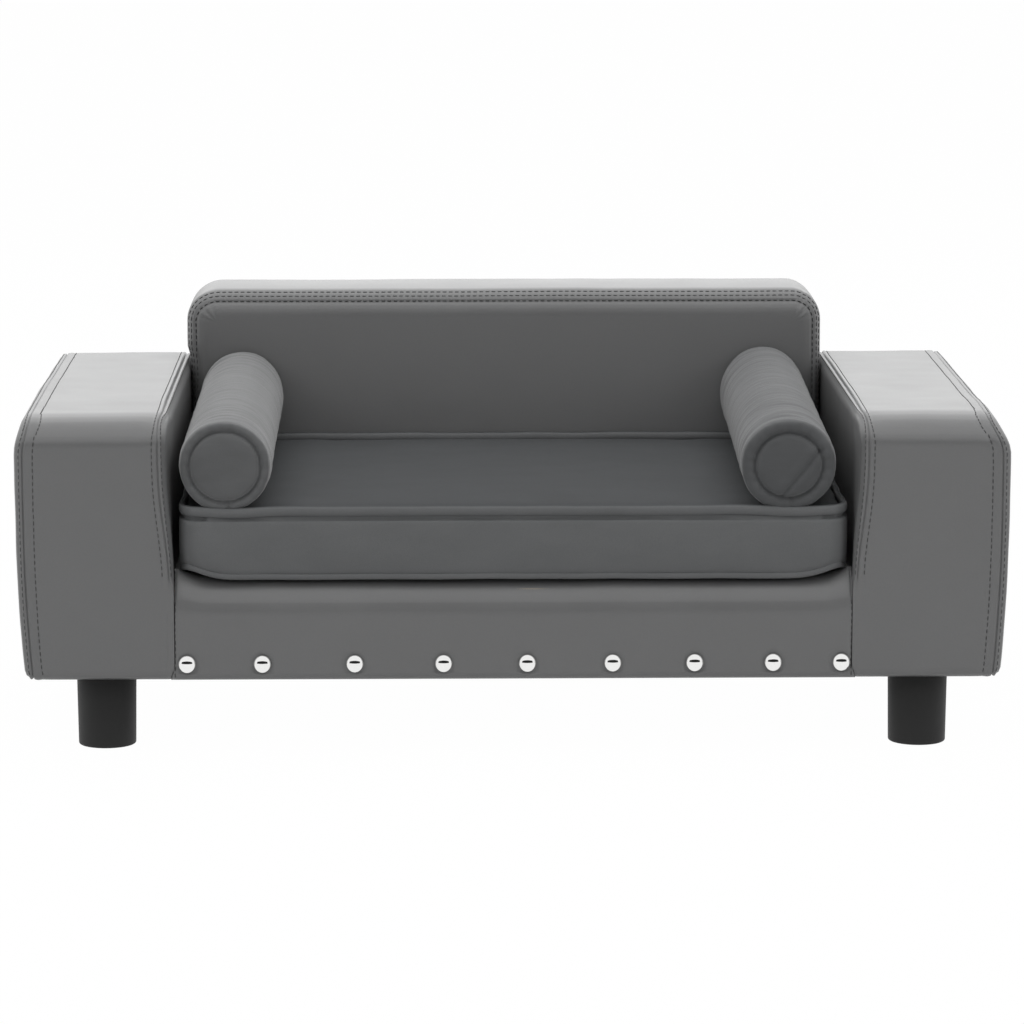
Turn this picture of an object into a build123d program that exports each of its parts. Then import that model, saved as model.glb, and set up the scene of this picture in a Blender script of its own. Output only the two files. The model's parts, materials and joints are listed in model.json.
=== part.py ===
"""Small upholstered dog sofa with two loose bolsters and a loose boxed seat cushion.

Sizes are in millimetres. X runs across the sofa, Y from the front to the back and Z up from the floor.
The origin lies on the floor, under the middle of the sofa.
"""
from build123d import *

import os
from math import atan, cos, degrees, pi, sqrt

os.makedirs("parts", exist_ok=True)

# Overall size
sofa_width = 810.0
sofa_depth = 430.0
foot_height = 60.0
arm_top = 278.0
back_top = 340.0
deck_top = 142.0
arm_width = 126.0
back_depth = 90.0
overrun = 900.0
hairline = 0.5

# Layers and running gaps
leather = 1.2
plush = 1.5
laid_gap = 0.3
flap_width = 25.0
dust_cover_thickness = 0.6
dust_cover_inset = 12.0
skin = leather + laid_gap
underside = foot_height + dust_cover_thickness
board_foot = underside + skin

# Dome nails along the front rail, spaced by hand
nail_head_radius = 7.5
nail_head_height = 4.5
nail_shank = 2.4
nail_shank_length = 18.0
nail_rise = 14.0
nail_fit = 0.05
nail_head_sides = 12
nail_dome_bands = ((0.55, 0.73), (0.45, 0.2))
nail_place_shares = (-0.955, -0.735, -0.465, -0.205, 0.04, 0.29, 0.53, 0.76, 0.96)

# Padded arms
arm_foot_draw = 6.5
arm_head_draw = 1.0
arm_bulge_share = 0.62
arm_edge_radius = 9.0
arm_front_radius = 28.0
arm_rear_radius = 14.0
arm_foot_radius = 4.0
arm_outer_seam = 13.0
arm_inner_seam = 8.0
arm_top_foam = 18.0
arm_front_foam = 10.0
arm_rear_foam = 3.0
arm_side_foam = 6.0
arm_board = 12.0
arm_top_board = 9.0
arm_bottom_board = 15.0

# Backrest
back_corner_radius = 26.0
back_front_edge = 6.0
back_rear_edge = 4.0
back_seam = 8.0
back_rail = 15.0
back_front_panel = 5.0
back_rear_panel = 3.0
back_top_rail = 20.0
back_stile = 20.0
back_top_foam = 15.0
back_side_foam = 6.0

# Seat base between the arms
base_front_radius = 12.0
rail_foam = 8.0
deck_foam = 6.0
deck_board = 6.0
rail = 15.0
slat_width = 40.0
slat_height = 20.0
slat_place_shares = (-0.22, 0.3)
corner_block_leg = 40.0

# Feet with moulded-in studs
foot_radius = 24.5
foot_inset_x = 70.0
foot_inset_y = 44.5
stud_radius = 4.0
stud_depth = 30.0
stud_fit = 0.1
stud_end = 3.0
foot_nut_radius = 5.0
foot_nut_length = 11.0
foot_nut_flange_radius = 11.0
foot_nut_flange = 1.5

# Bolts that join the arms and the backrest to the seat base. Hidden shanks and holes have a few flat sides.
fastener_sides = 6
bolt_radius = 3.0
bolt_head_radius = 7.0
bolt_head = 3.0
bolt_socket = 4.0
bolt_socket_depth = 2.0
bolt_clearance = 0.3
bolt_end = 3.0
bolt_rise = 34.0
bolt_from_block = 18.0
washer_radius = 8.0
washer = 1.2
frame_nut_radius = 4.0
frame_nut_length = 8.0
frame_nut_flange_radius = 9.0
frame_nut_flange = 1.2
nut_fit = 0.05
back_bolt_shares = (-0.5, 0.5)

# Seat cushion
cushion_height = 61.5
cushion_side_gap = 3.0
cushion_back_gap = 3.0
cushion_front_set = 4.0
cushion_corner = 18.0
cushion_draw = 2.0
cushion_crown = 5.0
cushion_end_crown = 1.0
cushion_rise = 14.0
welt_radius = 4.5
welt_proud = 2.5
welt_drop = 3.0
welt_fit = 0.2
welt_sides = 6

# Zip in the rear band of the seat cushion
zip_end_room = 33.5
zip_tape = 0.8
zip_tape_height = 24.0
zip_tape_end = 8.0
zip_mouth = 10.0
zip_bead_radius = 2.0
zip_stop_length = 3.0
zip_stop_proud = 0.4
slider_length = 13.0
slider_plate = 1.6
slider_flange = 1.0
slider_tip_share = 0.55
bridge_length = 6.2
bridge_leg = 1.2
bridge_width = 2.6
bridge_opening = 1.5
bridge_bar = 1.0
pull_length = 20.0
pull_width = 6.0
pull = 1.0
pull_bar = 1.2
pull_window_gap = 0.4
pull_window_length = 5.0
pull_corner = 2.0
pull_gap = 0.15

# Bolsters
bolster_radius = 38.0
bolster_side_gap = 10.0
bolster_front_set = 1.0
bolster_back_gap = 2.0
bolster_edge_face = 4.0
bolster_edge_depth = 5.0
bolster_seam_radius = 30.0
bolster_seam_depth = 1.2

# Planes and lines that several pieces share
front = nail_head_height - sofa_depth / 2
rear = sofa_depth / 2
back_front = rear - back_depth
arm_outer = sofa_width / 2
arm_inner = arm_outer - arm_width
seat_half = arm_inner - laid_gap
base_back = back_front - laid_gap
base_depth = base_back - front
rail_front = front + skin + rail_foam
bolt_z = board_foot + bolt_rise


def block(x0, x1, y0, y1, z0, z1):
    """A plain board, sheet or cutting block between six planes."""
    return Pos((x0 + x1) / 2, (y0 + y1) / 2, (z0 + z1) / 2) * Box(x1 - x0, y1 - y0, z1 - z0)


def rod(start, direction, radius, length):
    """A round rod from a point along a direction."""
    return extrude(Plane(start, z_dir=direction) * Circle(radius), length)


def peg(start, direction, radius, length):
    """A hidden fastener's shank or hole: a rod with a few flat sides."""
    return extrude(Plane(start, z_dir=direction) * RegularPolygon(radius, fastener_sides), length)


def outline_face(*corners):
    """A flat face inside straight edges."""
    return make_face(Polyline(*corners, corners[0]))


def rounded(face, *rounds):
    """The same face with round corners, from (corner, radius) pairs."""
    for corner, radius in rounds:
        face = fillet(face.vertices().sort_by_distance(corner)[0], radius)
    return face


def mirrored(shape):
    """The same piece for the left side."""
    return mirror(shape, about=Plane.YZ)


def save(name, *solids):
    """One file for each node, with its solids side by side where it has several."""
    whole = solids[0] if len(solids) == 1 else Compound(list(solids))
    export_step(whole, f"parts/{name}.step")


def main_solid(shape):
    """The piece that is kept when a cut leaves trimmings."""
    return shape.solids().sort_by(SortBy.VOLUME)[-1]


# Arms. The padded arm is one rounded form, and each layer is that form with an inset.

def arm_form(inset):
    """The right arm where its front, side and top views meet: bulged outside, with a rolled front."""
    foot_z = underside + inset
    top_z = arm_top - inset
    front_y = front + inset
    rear_y = rear - inset
    inner_x = arm_inner + inset
    full_x = arm_outer - inset
    low_x = full_x - arm_foot_draw
    head_x = full_x - arm_head_draw
    full_z = foot_z + arm_bulge_share * (top_z - foot_z)
    edge = arm_edge_radius - inset
    foot_edge = arm_foot_radius - inset
    front_view = make_face([
        Line((inner_x, 0, foot_z), (low_x, 0, foot_z)),
        ThreePointArc((low_x, 0, foot_z), (full_x, 0, full_z), (head_x, 0, top_z)),
        Line((head_x, 0, top_z), (inner_x, 0, top_z)),
        Line((inner_x, 0, top_z), (inner_x, 0, foot_z)),
    ])
    front_view = rounded(
        front_view, ((head_x, 0, top_z), edge), ((inner_x, 0, top_z), edge),
        ((low_x, 0, foot_z), foot_edge), ((inner_x, 0, foot_z), foot_edge),
    )
    side_view = outline_face((0, front_y, foot_z), (0, rear_y, foot_z), (0, rear_y, top_z), (0, front_y, top_z))
    side_view = rounded(
        side_view, ((0, front_y, top_z), arm_front_radius - inset), ((0, rear_y, top_z), arm_rear_radius - inset),
    )
    top_corners = [(inner_x, front_y), (full_x, front_y), (full_x, rear_y), (inner_x, rear_y)]
    top_view = rounded(outline_face(*top_corners), *[(corner, edge) for corner in top_corners])
    form = extrude(front_view, overrun, both=True) & extrude(top_view, overrun)
    return form & extrude(side_view, overrun, both=True)


def frame_bolt_set(seat, direction, stack):
    """One bolt, washer and tee nut that clamp a stack of layers, from the face under the washer."""
    along = Vector(*direction)
    under_head = Vector(*seat) - along * washer
    far_face = Vector(*seat) + along * stack
    shank = peg(under_head, direction, bolt_radius, washer + stack + frame_nut_flange + bolt_end)
    head = peg(under_head - along * bolt_head, direction, bolt_head_radius, bolt_head)
    socket_plane = Plane(under_head - along * bolt_head, z_dir=direction)
    socket = extrude(socket_plane * RegularPolygon(bolt_socket / 2, 6, major_radius=False), bolt_socket_depth)
    ring = peg(under_head, direction, washer_radius, washer)
    ring -= peg(under_head, direction, bolt_radius + bolt_clearance, washer)
    barrel = peg(far_face - along * frame_nut_length, direction, frame_nut_radius, frame_nut_length)
    flange = peg(far_face, direction, frame_nut_flange_radius, frame_nut_flange)
    bore_length = frame_nut_length + frame_nut_flange
    bore = peg(far_face - along * frame_nut_length, direction, bolt_radius + nut_fit, bore_length)
    return (shank + head) - socket, ring, (barrel + flange) - bore


# Where the frame bolts go: two through each side rail, clear of the corner blocks, two through the rear rail
arm_stack = rail + laid_gap + skin + arm_side_foam + arm_board
back_stack = rail + laid_gap + skin + back_rail
arm_bolt_ys = (
    rail_front + rail + corner_block_leg + bolt_from_block,
    base_back - rail - corner_block_leg - bolt_from_block,
)
arm_bolt_seats = [(seat_half - rail, y, bolt_z) for y in arm_bolt_ys]
back_bolt_seats = [(share * seat_half, base_back - rail, bolt_z) for share in back_bolt_shares]


def arm_bolt_holes(radius):
    """Cutting rods for the bolts of the right arm."""
    return [peg(seat, (1, 0, 0), radius, arm_stack) for seat in arm_bolt_seats]


def back_bolt_holes(radius):
    """Cutting rods for the bolts of the backrest."""
    return [peg(seat, (0, 1, 0), radius, back_stack) for seat in back_bolt_seats]


# Foot places, under the bottom boards of the arms
foot_x = arm_outer - foot_inset_x
foot_ys = (front + foot_inset_y, rear - foot_inset_y)

# The board box inside the right arm
box_x0 = arm_inner + skin + arm_side_foam
box_x1 = arm_outer - arm_foot_draw - skin - arm_side_foam
box_y0 = front + skin + arm_front_foam
box_y1 = rear - skin - arm_rear_foam
box_z1 = arm_top - skin - arm_top_foam


def arm_pieces():
    """Every piece of the right arm, by its name without the side."""
    inner_board = block(box_x0, box_x0 + arm_board, box_y0, box_y1, board_foot, box_z1 - arm_top_board)
    inner_board -= arm_bolt_holes(frame_nut_radius + nut_fit)
    outer_board = block(box_x1 - arm_board, box_x1, box_y0, box_y1, board_foot, box_z1 - arm_top_board)
    top_board = block(box_x0, box_x1, box_y0, box_y1, box_z1 - arm_top_board, box_z1)
    between_x0 = box_x0 + arm_board
    between_x1 = box_x1 - arm_board
    bottom_board = block(between_x0, between_x1, box_y0, box_y1, board_foot, board_foot + arm_bottom_board)
    for foot_y in foot_ys:
        hole = peg((foot_x, foot_y, board_foot), (0, 0, 1), foot_nut_radius + nut_fit, arm_bottom_board)
        bottom_board -= hole
    end_z0 = board_foot + arm_bottom_board
    end_z1 = box_z1 - arm_top_board
    front_board = block(between_x0, between_x1, box_y0, box_y0 + arm_board, end_z0, end_z1)
    rear_board = block(between_x0, between_x1, box_y1 - arm_board, box_y1, end_z0, end_z1)

    padding = arm_form(skin) - block(box_x0, box_x1, box_y0, box_y1, -overrun, box_z1)
    padding -= block(-overrun, overrun, -overrun, overrun, -overrun, board_foot)
    top_foam = padding & block(-overrun, overrun, -overrun, overrun, box_z1, overrun)
    below_top = padding - block(-overrun, overrun, -overrun, overrun, box_z1, overrun)
    front_foam = below_top & block(-overrun, overrun, -overrun, box_y0, -overrun, overrun)
    rear_foam = below_top & block(-overrun, overrun, box_y1, overrun, -overrun, overrun)
    between_ends = below_top & block(-overrun, overrun, box_y0, box_y1, -overrun, overrun)
    inner_foam = between_ends & block(-overrun, box_x0, -overrun, overrun, -overrun, overrun)
    inner_foam -= arm_bolt_holes(bolt_radius + bolt_clearance)
    outer_foam = between_ends & block(box_x1, overrun, -overrun, overrun, -overrun, overrun)

    shell = arm_form(0) - arm_form(leather)
    shell -= block(
        arm_inner + flap_width, arm_outer - arm_foot_draw - flap_width,
        front + flap_width, rear - flap_width, 0, underside + arm_board,
    )
    seam_in = arm_inner + arm_inner_seam
    seam_out = arm_outer - arm_outer_seam
    inner_cover = shell & block(0, seam_in, -overrun, overrun, -overrun, overrun)
    inner_cover -= arm_bolt_holes(bolt_radius + bolt_clearance)
    return {
        "inner_board": [inner_board],
        "outer_board": [outer_board],
        "top_board": [top_board],
        "bottom_board": [bottom_board],
        "end_boards": [front_board, rear_board],
        "foam": [top_foam, front_foam, rear_foam, inner_foam, outer_foam],
        "wrap_cover": [shell & block(seam_in, seam_out, -overrun, overrun, -overrun, overrun)],
        "outer_cover": [shell & block(seam_out, overrun, -overrun, overrun, -overrun, overrun)],
        "inner_cover": [inner_cover],
    }


for piece, solids in arm_pieces().items():
    save(f"arm_right_{piece}", *solids)
    save(f"arm_left_{piece}", *[mirrored(solid) for solid in solids])


# Feet: round moulded legs with a stud, each turned into a tee nut in the arm's bottom board

def foot():
    """One moulded foot on the origin, with its blind bore for the stud."""
    body = rod((0, 0, 0), (0, 0, 1), foot_radius, foot_height)
    return body - peg((0, 0, foot_height - stud_depth), (0, 0, 1), stud_radius + stud_fit, stud_depth)


foot_nut_seat = board_foot + arm_bottom_board
stud_top = foot_nut_seat + foot_nut_flange + stud_end
stud = peg((0, 0, foot_height - stud_depth), (0, 0, 1), stud_radius, stud_top - foot_height + stud_depth)
foot_nut = peg((0, 0, foot_nut_seat - foot_nut_length), (0, 0, 1), foot_nut_radius, foot_nut_length)
foot_nut += peg((0, 0, foot_nut_seat), (0, 0, 1), foot_nut_flange_radius, foot_nut_flange)
foot_nut -= peg((0, 0, board_foot), (0, 0, 1), stud_radius + nut_fit, arm_bottom_board + foot_nut_flange)
foot_places = {
    "front_left": (-foot_x, foot_ys[0]),
    "front_right": (foot_x, foot_ys[0]),
    "rear_left": (-foot_x, foot_ys[1]),
    "rear_right": (foot_x, foot_ys[1]),
}
for corner, (x, y) in foot_places.items():
    save(f"foot_{corner}", Pos(x, y, 0) * foot())
save("foot_studs", *[Pos(x, y, 0) * stud for x, y in foot_places.values()])
save("foot_tee_nuts", *[Pos(x, y, 0) * foot_nut for x, y in foot_places.values()])


# Seat base: a rail frame with slats, a deck board, foam and one leather cover

def base_form(inset, back_y):
    """The padded base between the arms, with its rounded top front edge."""
    foot_z = underside + inset
    top_z = deck_top - inset
    front_y = front + inset
    side_view = outline_face((0, front_y, foot_z), (0, back_y, foot_z), (0, back_y, top_z), (0, front_y, top_z))
    side_view = rounded(side_view, ((0, front_y, top_z), base_front_radius - inset))
    return extrude(side_view, seat_half, both=True)


foam_under = deck_top - skin - deck_foam
rail_top = foam_under - deck_board
inner_half = seat_half - rail
nail_places = [(share * arm_inner, front, underside + nail_rise) for share in nail_place_shares]


def nail_shank_block(place, fit):
    """A square shank, or with a fit its hole, from the leather into the rail."""
    x, y, z = place
    half = nail_shank / 2 + fit
    return block(x - half, x + half, y, y + nail_shank_length, z - half, z + half)


nail_holes = [nail_shank_block(place, nail_fit) for place in nail_places]


def dome_nail(place):
    """A domed nail driven in from the front, its dome in bands that narrow to a share of the head."""
    x, y, z = place
    nail = nail_shank_block(place, 0)
    radius = nail_head_radius
    for height_share, end_share in nail_dome_bands:
        height = height_share * nail_head_height
        end_radius = end_share * nail_head_radius
        # A flat side stands nearer to the middle than a corner does
        lean = degrees(atan((radius - end_radius) * cos(pi / nail_head_sides) / height))
        band_plane = Plane((x, y, z), x_dir=(1, 0, 0), z_dir=(0, -1, 0))
        nail += extrude(band_plane * RegularPolygon(radius, nail_head_sides), height, taper=lean)
        y -= height
        radius = end_radius
    return nail


front_rail = block(-seat_half, seat_half, rail_front, rail_front + rail, board_foot, rail_top)
save("front_rail", front_rail - nail_holes)
rear_rail = block(-seat_half, seat_half, base_back - rail, base_back, board_foot, rail_top)
save("rear_rail", rear_rail - back_bolt_holes(bolt_radius + bolt_clearance))
side_rail = block(inner_half, seat_half, rail_front + rail, base_back - rail, board_foot, rail_top)
side_rail -= arm_bolt_holes(bolt_radius + bolt_clearance)
save("side_rails", side_rail, mirrored(side_rail))
slat_ys = [(rail_front + base_back) / 2 + share * base_depth for share in slat_place_shares]
save("deck_slats", *[
    block(-inner_half, inner_half, y - slat_width / 2, y + slat_width / 2, rail_top - slat_height, rail_top)
    for y in slat_ys
])
save("deck_board", block(-seat_half, seat_half, rail_front, base_back, rail_top, foam_under))


def corner_block(x, y, x_sign, y_sign):
    """A three-cornered glue block in an inner corner of the rail frame."""
    triangle = outline_face((x, y), (x + x_sign * corner_block_leg, y), (x, y + y_sign * corner_block_leg))
    return Pos(0, 0, board_foot) * extrude(triangle, rail_top - slat_height - board_foot, dir=(0, 0, 1))


inner_front = rail_front + rail
inner_back = base_back - rail
save(
    "corner_blocks",
    corner_block(-inner_half, inner_front, 1, 1), corner_block(inner_half, inner_front, -1, 1),
    corner_block(-inner_half, inner_back, 1, -1), corner_block(inner_half, inner_back, -1, -1),
)

base_foam = base_form(skin, base_back) - block(-overrun, overrun, rail_front, overrun, 0, foam_under)
above_board = block(-overrun, overrun, -overrun, overrun, foam_under, overrun)
save("base_foam", base_foam & above_board, (base_foam - above_board) - nail_holes)
base_cover = base_form(0, base_back) - base_form(leather, overrun)
base_cover -= block(-overrun, overrun, front + flap_width, overrun, 0, underside + rail)
save("base_cover", base_cover - nail_holes)
save("dome_nails", *[dome_nail(place) for place in nail_places])

dust_x = arm_outer - arm_foot_draw - dust_cover_inset
dust_cover = block(-dust_x, dust_x, front + dust_cover_inset, rear - dust_cover_inset, foot_height, underside)
for x, y in foot_places.values():
    dust_cover -= peg((x, y, foot_height), (0, 0, 1), stud_radius + stud_fit, dust_cover_thickness)
save("dust_cover", dust_cover)


# Backrest: a board frame behind foam, with a sewn cover of front panel, boxing strip and rear panel

def back_form(inset):
    """The padded backrest, with round upper corners and bevelled seam edges."""
    foot_z = underside + inset
    top_z = back_top - inset
    front_y = back_front + inset
    rear_y = rear - inset
    half = seat_half - inset
    corner = back_corner_radius - inset
    front_view = outline_face((-half, front_y, foot_z), (half, front_y, foot_z), (half, front_y, top_z),
                              (-half, front_y, top_z))
    front_view = rounded(front_view, ((half, front_y, top_z), corner), ((-half, front_y, top_z), corner))
    form = extrude(front_view, rear_y - front_y, dir=(0, 1, 0))
    # An inset bevel stays parallel to the outer one when its leg shrinks by this share of the inset
    leg_loss = (2 - sqrt(2)) * inset
    above_foot = [edge for edge in form.edges() if edge.center().Z > foot_z + hairline]
    front_edges = [edge for edge in above_foot if edge.bounding_box().max.Y < front_y + hairline]
    form = chamfer(front_edges, back_front_edge - leg_loss)
    above_foot = [edge for edge in form.edges() if edge.center().Z > foot_z + hairline]
    rear_edges = [edge for edge in above_foot if edge.bounding_box().min.Y > rear_y - hairline]
    return chamfer(rear_edges, back_rear_edge - leg_loss)


frame_half = seat_half - skin - back_side_foam
stile_front = back_front + skin + back_rail
panel_front = stile_front - back_front_panel
stile_rear = rear - skin - back_rear_panel
frame_top = back_top - skin - back_top_foam
bottom_rail = block(-frame_half, frame_half, stile_front - back_rail, stile_front, board_foot, deck_top)
save("back_bottom_rail", bottom_rail - back_bolt_holes(frame_nut_radius + nut_fit))
save("back_top_rail", block(
    -frame_half, frame_half, stile_front, stile_rear, frame_top - back_top_rail, frame_top,
))
stile_places = (-frame_half, -back_stile / 2, frame_half - back_stile)
save("back_stiles", *[
    block(x, x + back_stile, stile_front, stile_rear, board_foot, frame_top - back_top_rail)
    for x in stile_places
])
save("back_panel", block(-frame_half, frame_half, panel_front, stile_front, deck_top, frame_top))
save("back_rear_panel", block(-frame_half, frame_half, stile_rear, rear - skin, board_foot, frame_top))

back_padding = back_form(skin) - block(-frame_half, frame_half, panel_front, overrun, 0, frame_top)
back_padding -= block(-overrun, overrun, 0, stile_front, 0, deck_top)
in_front = block(-overrun, overrun, 0, panel_front, 0, overrun)
above_frame = block(-overrun, overrun, 0, overrun, frame_top, overrun)
behind_front = back_padding - in_front
side_foams = (behind_front - above_frame).solids()
save("back_foam", back_padding & in_front, behind_front & above_frame, *side_foams)

back_shell = back_form(0) - back_form(leather)
back_shell -= block(
    -seat_half + flap_width, seat_half - flap_width, back_front + flap_width, rear - flap_width,
    0, underside + back_rail,
)
seam_half = seat_half - back_seam
seam_prism = block(-seam_half, seam_half, 0, overrun, 0, back_top - back_seam)
seam_prism = fillet(seam_prism.edges().filter_by(Axis.Y).sort_by(Axis.Z)[-2:], back_corner_radius - back_seam)
faces_of_back = back_shell & seam_prism
back_middle = back_front + back_depth / 2
in_front_half = block(-overrun, overrun, 0, back_middle, 0, overrun)
save("back_front_cover", (faces_of_back & in_front_half) - back_bolt_holes(bolt_radius + bolt_clearance))
save("back_rear_cover", faces_of_back - in_front_half)
save("back_boxing_cover", back_shell - seam_prism)


# Frame bolts, all alike

bolt_sets = [frame_bolt_set(seat, (1, 0, 0), arm_stack) for seat in arm_bolt_seats]
bolt_sets += [tuple(mirrored(piece) for piece in bolt_set) for bolt_set in bolt_sets]
bolt_sets += [frame_bolt_set(seat, (0, 1, 0), back_stack) for seat in back_bolt_seats]
for name, solids in zip(("frame_bolts", "frame_washers", "frame_tee_nuts"), zip(*bolt_sets)):
    save(name, *solids)


# Seat cushion: a foam block in a sewn plush cover with a welt round its top and bottom edges

cushion_foot = deck_top + laid_gap
cushion_half = arm_inner - cushion_side_gap - welt_proud
cushion_front = front + cushion_front_set + welt_proud
cushion_rear = back_front - cushion_back_gap - welt_proud
cushion_middle = (cushion_front + cushion_rear) / 2
upper_welt_z = cushion_foot + cushion_height - welt_radius
lower_welt_z = cushion_foot + welt_radius
cushion_edge_z = upper_welt_z - welt_drop
cushion_slope = cushion_rise / (cushion_rear - cushion_front)
cushion_tilt = degrees(atan(cushion_slope))


def on_slope(z):
    """The place of a level plane that starts at one height in front and rises as the seat does."""
    return Pos(0, cushion_front, z) * Rot(cushion_tilt, 0, 0) * Pos(0, -cushion_front, 0)


def cushion_section(y, half, crown, inset):
    """One upright section across the cushion: flat below, crowned above, and higher to the rear."""
    foot_z = cushion_foot + inset
    edge_z = cushion_edge_z - inset + cushion_slope * (y - cushion_front)
    return make_face([
        Line((-half, y, foot_z), (half, y, foot_z)),
        Line((half, y, foot_z), (half, y, edge_z)),
        ThreePointArc((half, y, edge_z), (0, y, edge_z + crown), (-half, y, edge_z)),
        Line((-half, y, edge_z), (-half, y, foot_z)),
    ])


def cushion_form(inset):
    """The boxed cushion, with a crown and with sides that pull in between the corners."""
    half = cushion_half - inset
    form = loft([
        cushion_section(cushion_front + inset, half, cushion_end_crown, inset),
        cushion_section(cushion_middle, half - cushion_draw, cushion_crown, inset),
        cushion_section(cushion_rear - inset, half, cushion_end_crown, inset),
    ])
    upright = [edge for edge in form.edges() if edge.bounding_box().size.Z > cushion_height / 2
               and edge.bounding_box().size.X < hairline]
    return fillet(upright, cushion_corner - inset)


def welt(place):
    """A welt that follows the cushion's outline in one plane and hugs its edge."""
    inset = welt_radius - welt_proud
    half = cushion_half - inset
    y0 = cushion_front + inset
    y1 = cushion_rear - inset
    outline = make_face([
        Line((-half, y0), (half, y0)),
        ThreePointArc((half, y0), (half - cushion_draw, cushion_middle), (half, y1)),
        Line((half, y1), (-half, y1)),
        ThreePointArc((-half, y1), (-half + cushion_draw, cushion_middle), (-half, y0)),
    ])
    outline = fillet(outline.vertices(), cushion_corner - inset)
    path = place * outline.wires()[0]
    start = Plane(path @ 0, x_dir=(0, 0, 1), z_dir=path % 0)
    half_side = 180 / welt_sides
    section = RegularPolygon(welt_radius, welt_sides, major_radius=False, rotation=half_side)
    return sweep(start * section, path) - cushion_form(-welt_fit)


# Where the bolsters lie, on the crown of the cushion and tipped with it
crown_half = cushion_half - cushion_draw
crown_radius = (crown_half ** 2 + cushion_crown ** 2) / (2 * cushion_crown)
bolster_x = arm_inner - bolster_side_gap - bolster_radius
crown_fall = crown_radius - sqrt(crown_radius ** 2 - bolster_x ** 2)
bolster_z = cushion_edge_z + cushion_crown - crown_fall + laid_gap + bolster_radius
bolster_y0 = cushion_front - welt_proud + bolster_front_set
bolster_y1 = back_front - bolster_back_gap
bolster_length = bolster_y1 - bolster_y0

pressed = [
    on_slope(bolster_z) * rod((x, front - overrun, 0), (0, 1, 0), bolster_radius + laid_gap, overrun * 2)
    for x in (-bolster_x, bolster_x)
]
zip_length = 2 * (cushion_half - zip_end_room)
zip_z = (lower_welt_z + upper_welt_z + cushion_rise) / 2
band_inner = cushion_rear - plush

cushion_cover = cushion_form(0) - cushion_form(plush)
panel_split = cushion_edge_z - plush
over_split = on_slope(panel_split) * block(-overrun, overrun, -overrun, overrun, 0, overrun)
under_split = block(-overrun, overrun, -overrun, overrun, 0, cushion_foot + plush)
zip_mouth_cut = block(
    -zip_length / 2, zip_length / 2, band_inner - plush, cushion_rear + plush,
    zip_z - zip_mouth / 2, zip_z + zip_mouth / 2,
)
zip_room = block(
    -zip_length / 2 - zip_mouth, zip_length / 2 + zip_mouth, band_inner - zip_tape - laid_gap, cushion_rear,
    zip_z - zip_tape_height / 2 - laid_gap, zip_z + zip_tape_height / 2 + laid_gap,
)
save("cushion_top_panel", main_solid(cushion_cover & over_split))
save("cushion_bottom_panel", main_solid(cushion_cover & under_split))
save("cushion_band", main_solid(cushion_cover - over_split - under_split - zip_mouth_cut))
save("cushion_foam", cushion_form(plush + laid_gap) - zip_room)
save("cushion_welts", welt(Pos(0, 0, lower_welt_z)), welt(on_slope(upper_welt_z)) - pressed)

# The zip: a tape behind the band's mouth, with a round bead of closed teeth between two end stops
tape_half = zip_length / 2 + zip_tape_end
bead_half = zip_length / 2 - zip_stop_length
outside = block(-overrun, overrun, band_inner, overrun, 0, overrun)
zip_chain = block(
    -tape_half, tape_half, band_inner - zip_tape, band_inner,
    zip_z - zip_tape_height / 2, zip_z + zip_tape_height / 2,
)
zip_chain += rod((-bead_half, band_inner, zip_z), (1, 0, 0), zip_bead_radius, bead_half * 2) & outside
for x in (-bead_half, bead_half - zip_stop_length):
    stop = rod((x, band_inner, zip_z), (1, 0, 0), zip_bead_radius + zip_stop_proud, zip_stop_length)
    zip_chain += stop & outside
save("cushion_zip", zip_chain)

# The slider rides on the bead, closed at the left end, with its pull lying flat
slider_x0 = -bead_half + zip_stop_length + laid_gap
slider_x1 = slider_x0 + slider_length
slider_half = zip_bead_radius + laid_gap + slider_flange
slider_y0 = band_inner + zip_bead_radius + laid_gap
slider_y1 = slider_y0 + slider_plate
tip_half = slider_half * slider_tip_share
plate_face = make_face([
    Line((slider_x0, slider_y0, zip_z - slider_half), (slider_x1, slider_y0, zip_z - slider_half)),
    ThreePointArc(
        (slider_x1, slider_y0, zip_z - slider_half),
        (slider_x1 + tip_half, slider_y0, zip_z),
        (slider_x1, slider_y0, zip_z + slider_half),
    ),
    Line((slider_x1, slider_y0, zip_z + slider_half), (slider_x0, slider_y0, zip_z + slider_half)),
    Line((slider_x0, slider_y0, zip_z + slider_half), (slider_x0, slider_y0, zip_z - slider_half)),
])
slider = extrude(plate_face, slider_plate, dir=(0, 1, 0))
for sign in (-1, 1):
    z0, z1 = sorted((zip_z + sign * slider_half, zip_z + sign * (slider_half - slider_flange)))
    slider += block(slider_x0, slider_x1, band_inner + laid_gap, slider_y0, z0, z1)
bridge_x0 = (slider_x0 + slider_x1 - bridge_length) / 2
bridge_x1 = bridge_x0 + bridge_length
bridge_top = slider_y1 + bridge_opening + bridge_bar
bridge = block(bridge_x0, bridge_x1, slider_y1, bridge_top, zip_z - bridge_width / 2, zip_z + bridge_width / 2)
bridge -= block(
    bridge_x0 + bridge_leg, bridge_x1 - bridge_leg, slider_y1, slider_y1 + bridge_opening,
    0, overrun,
)
save("zip_slider", slider + bridge)

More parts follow.
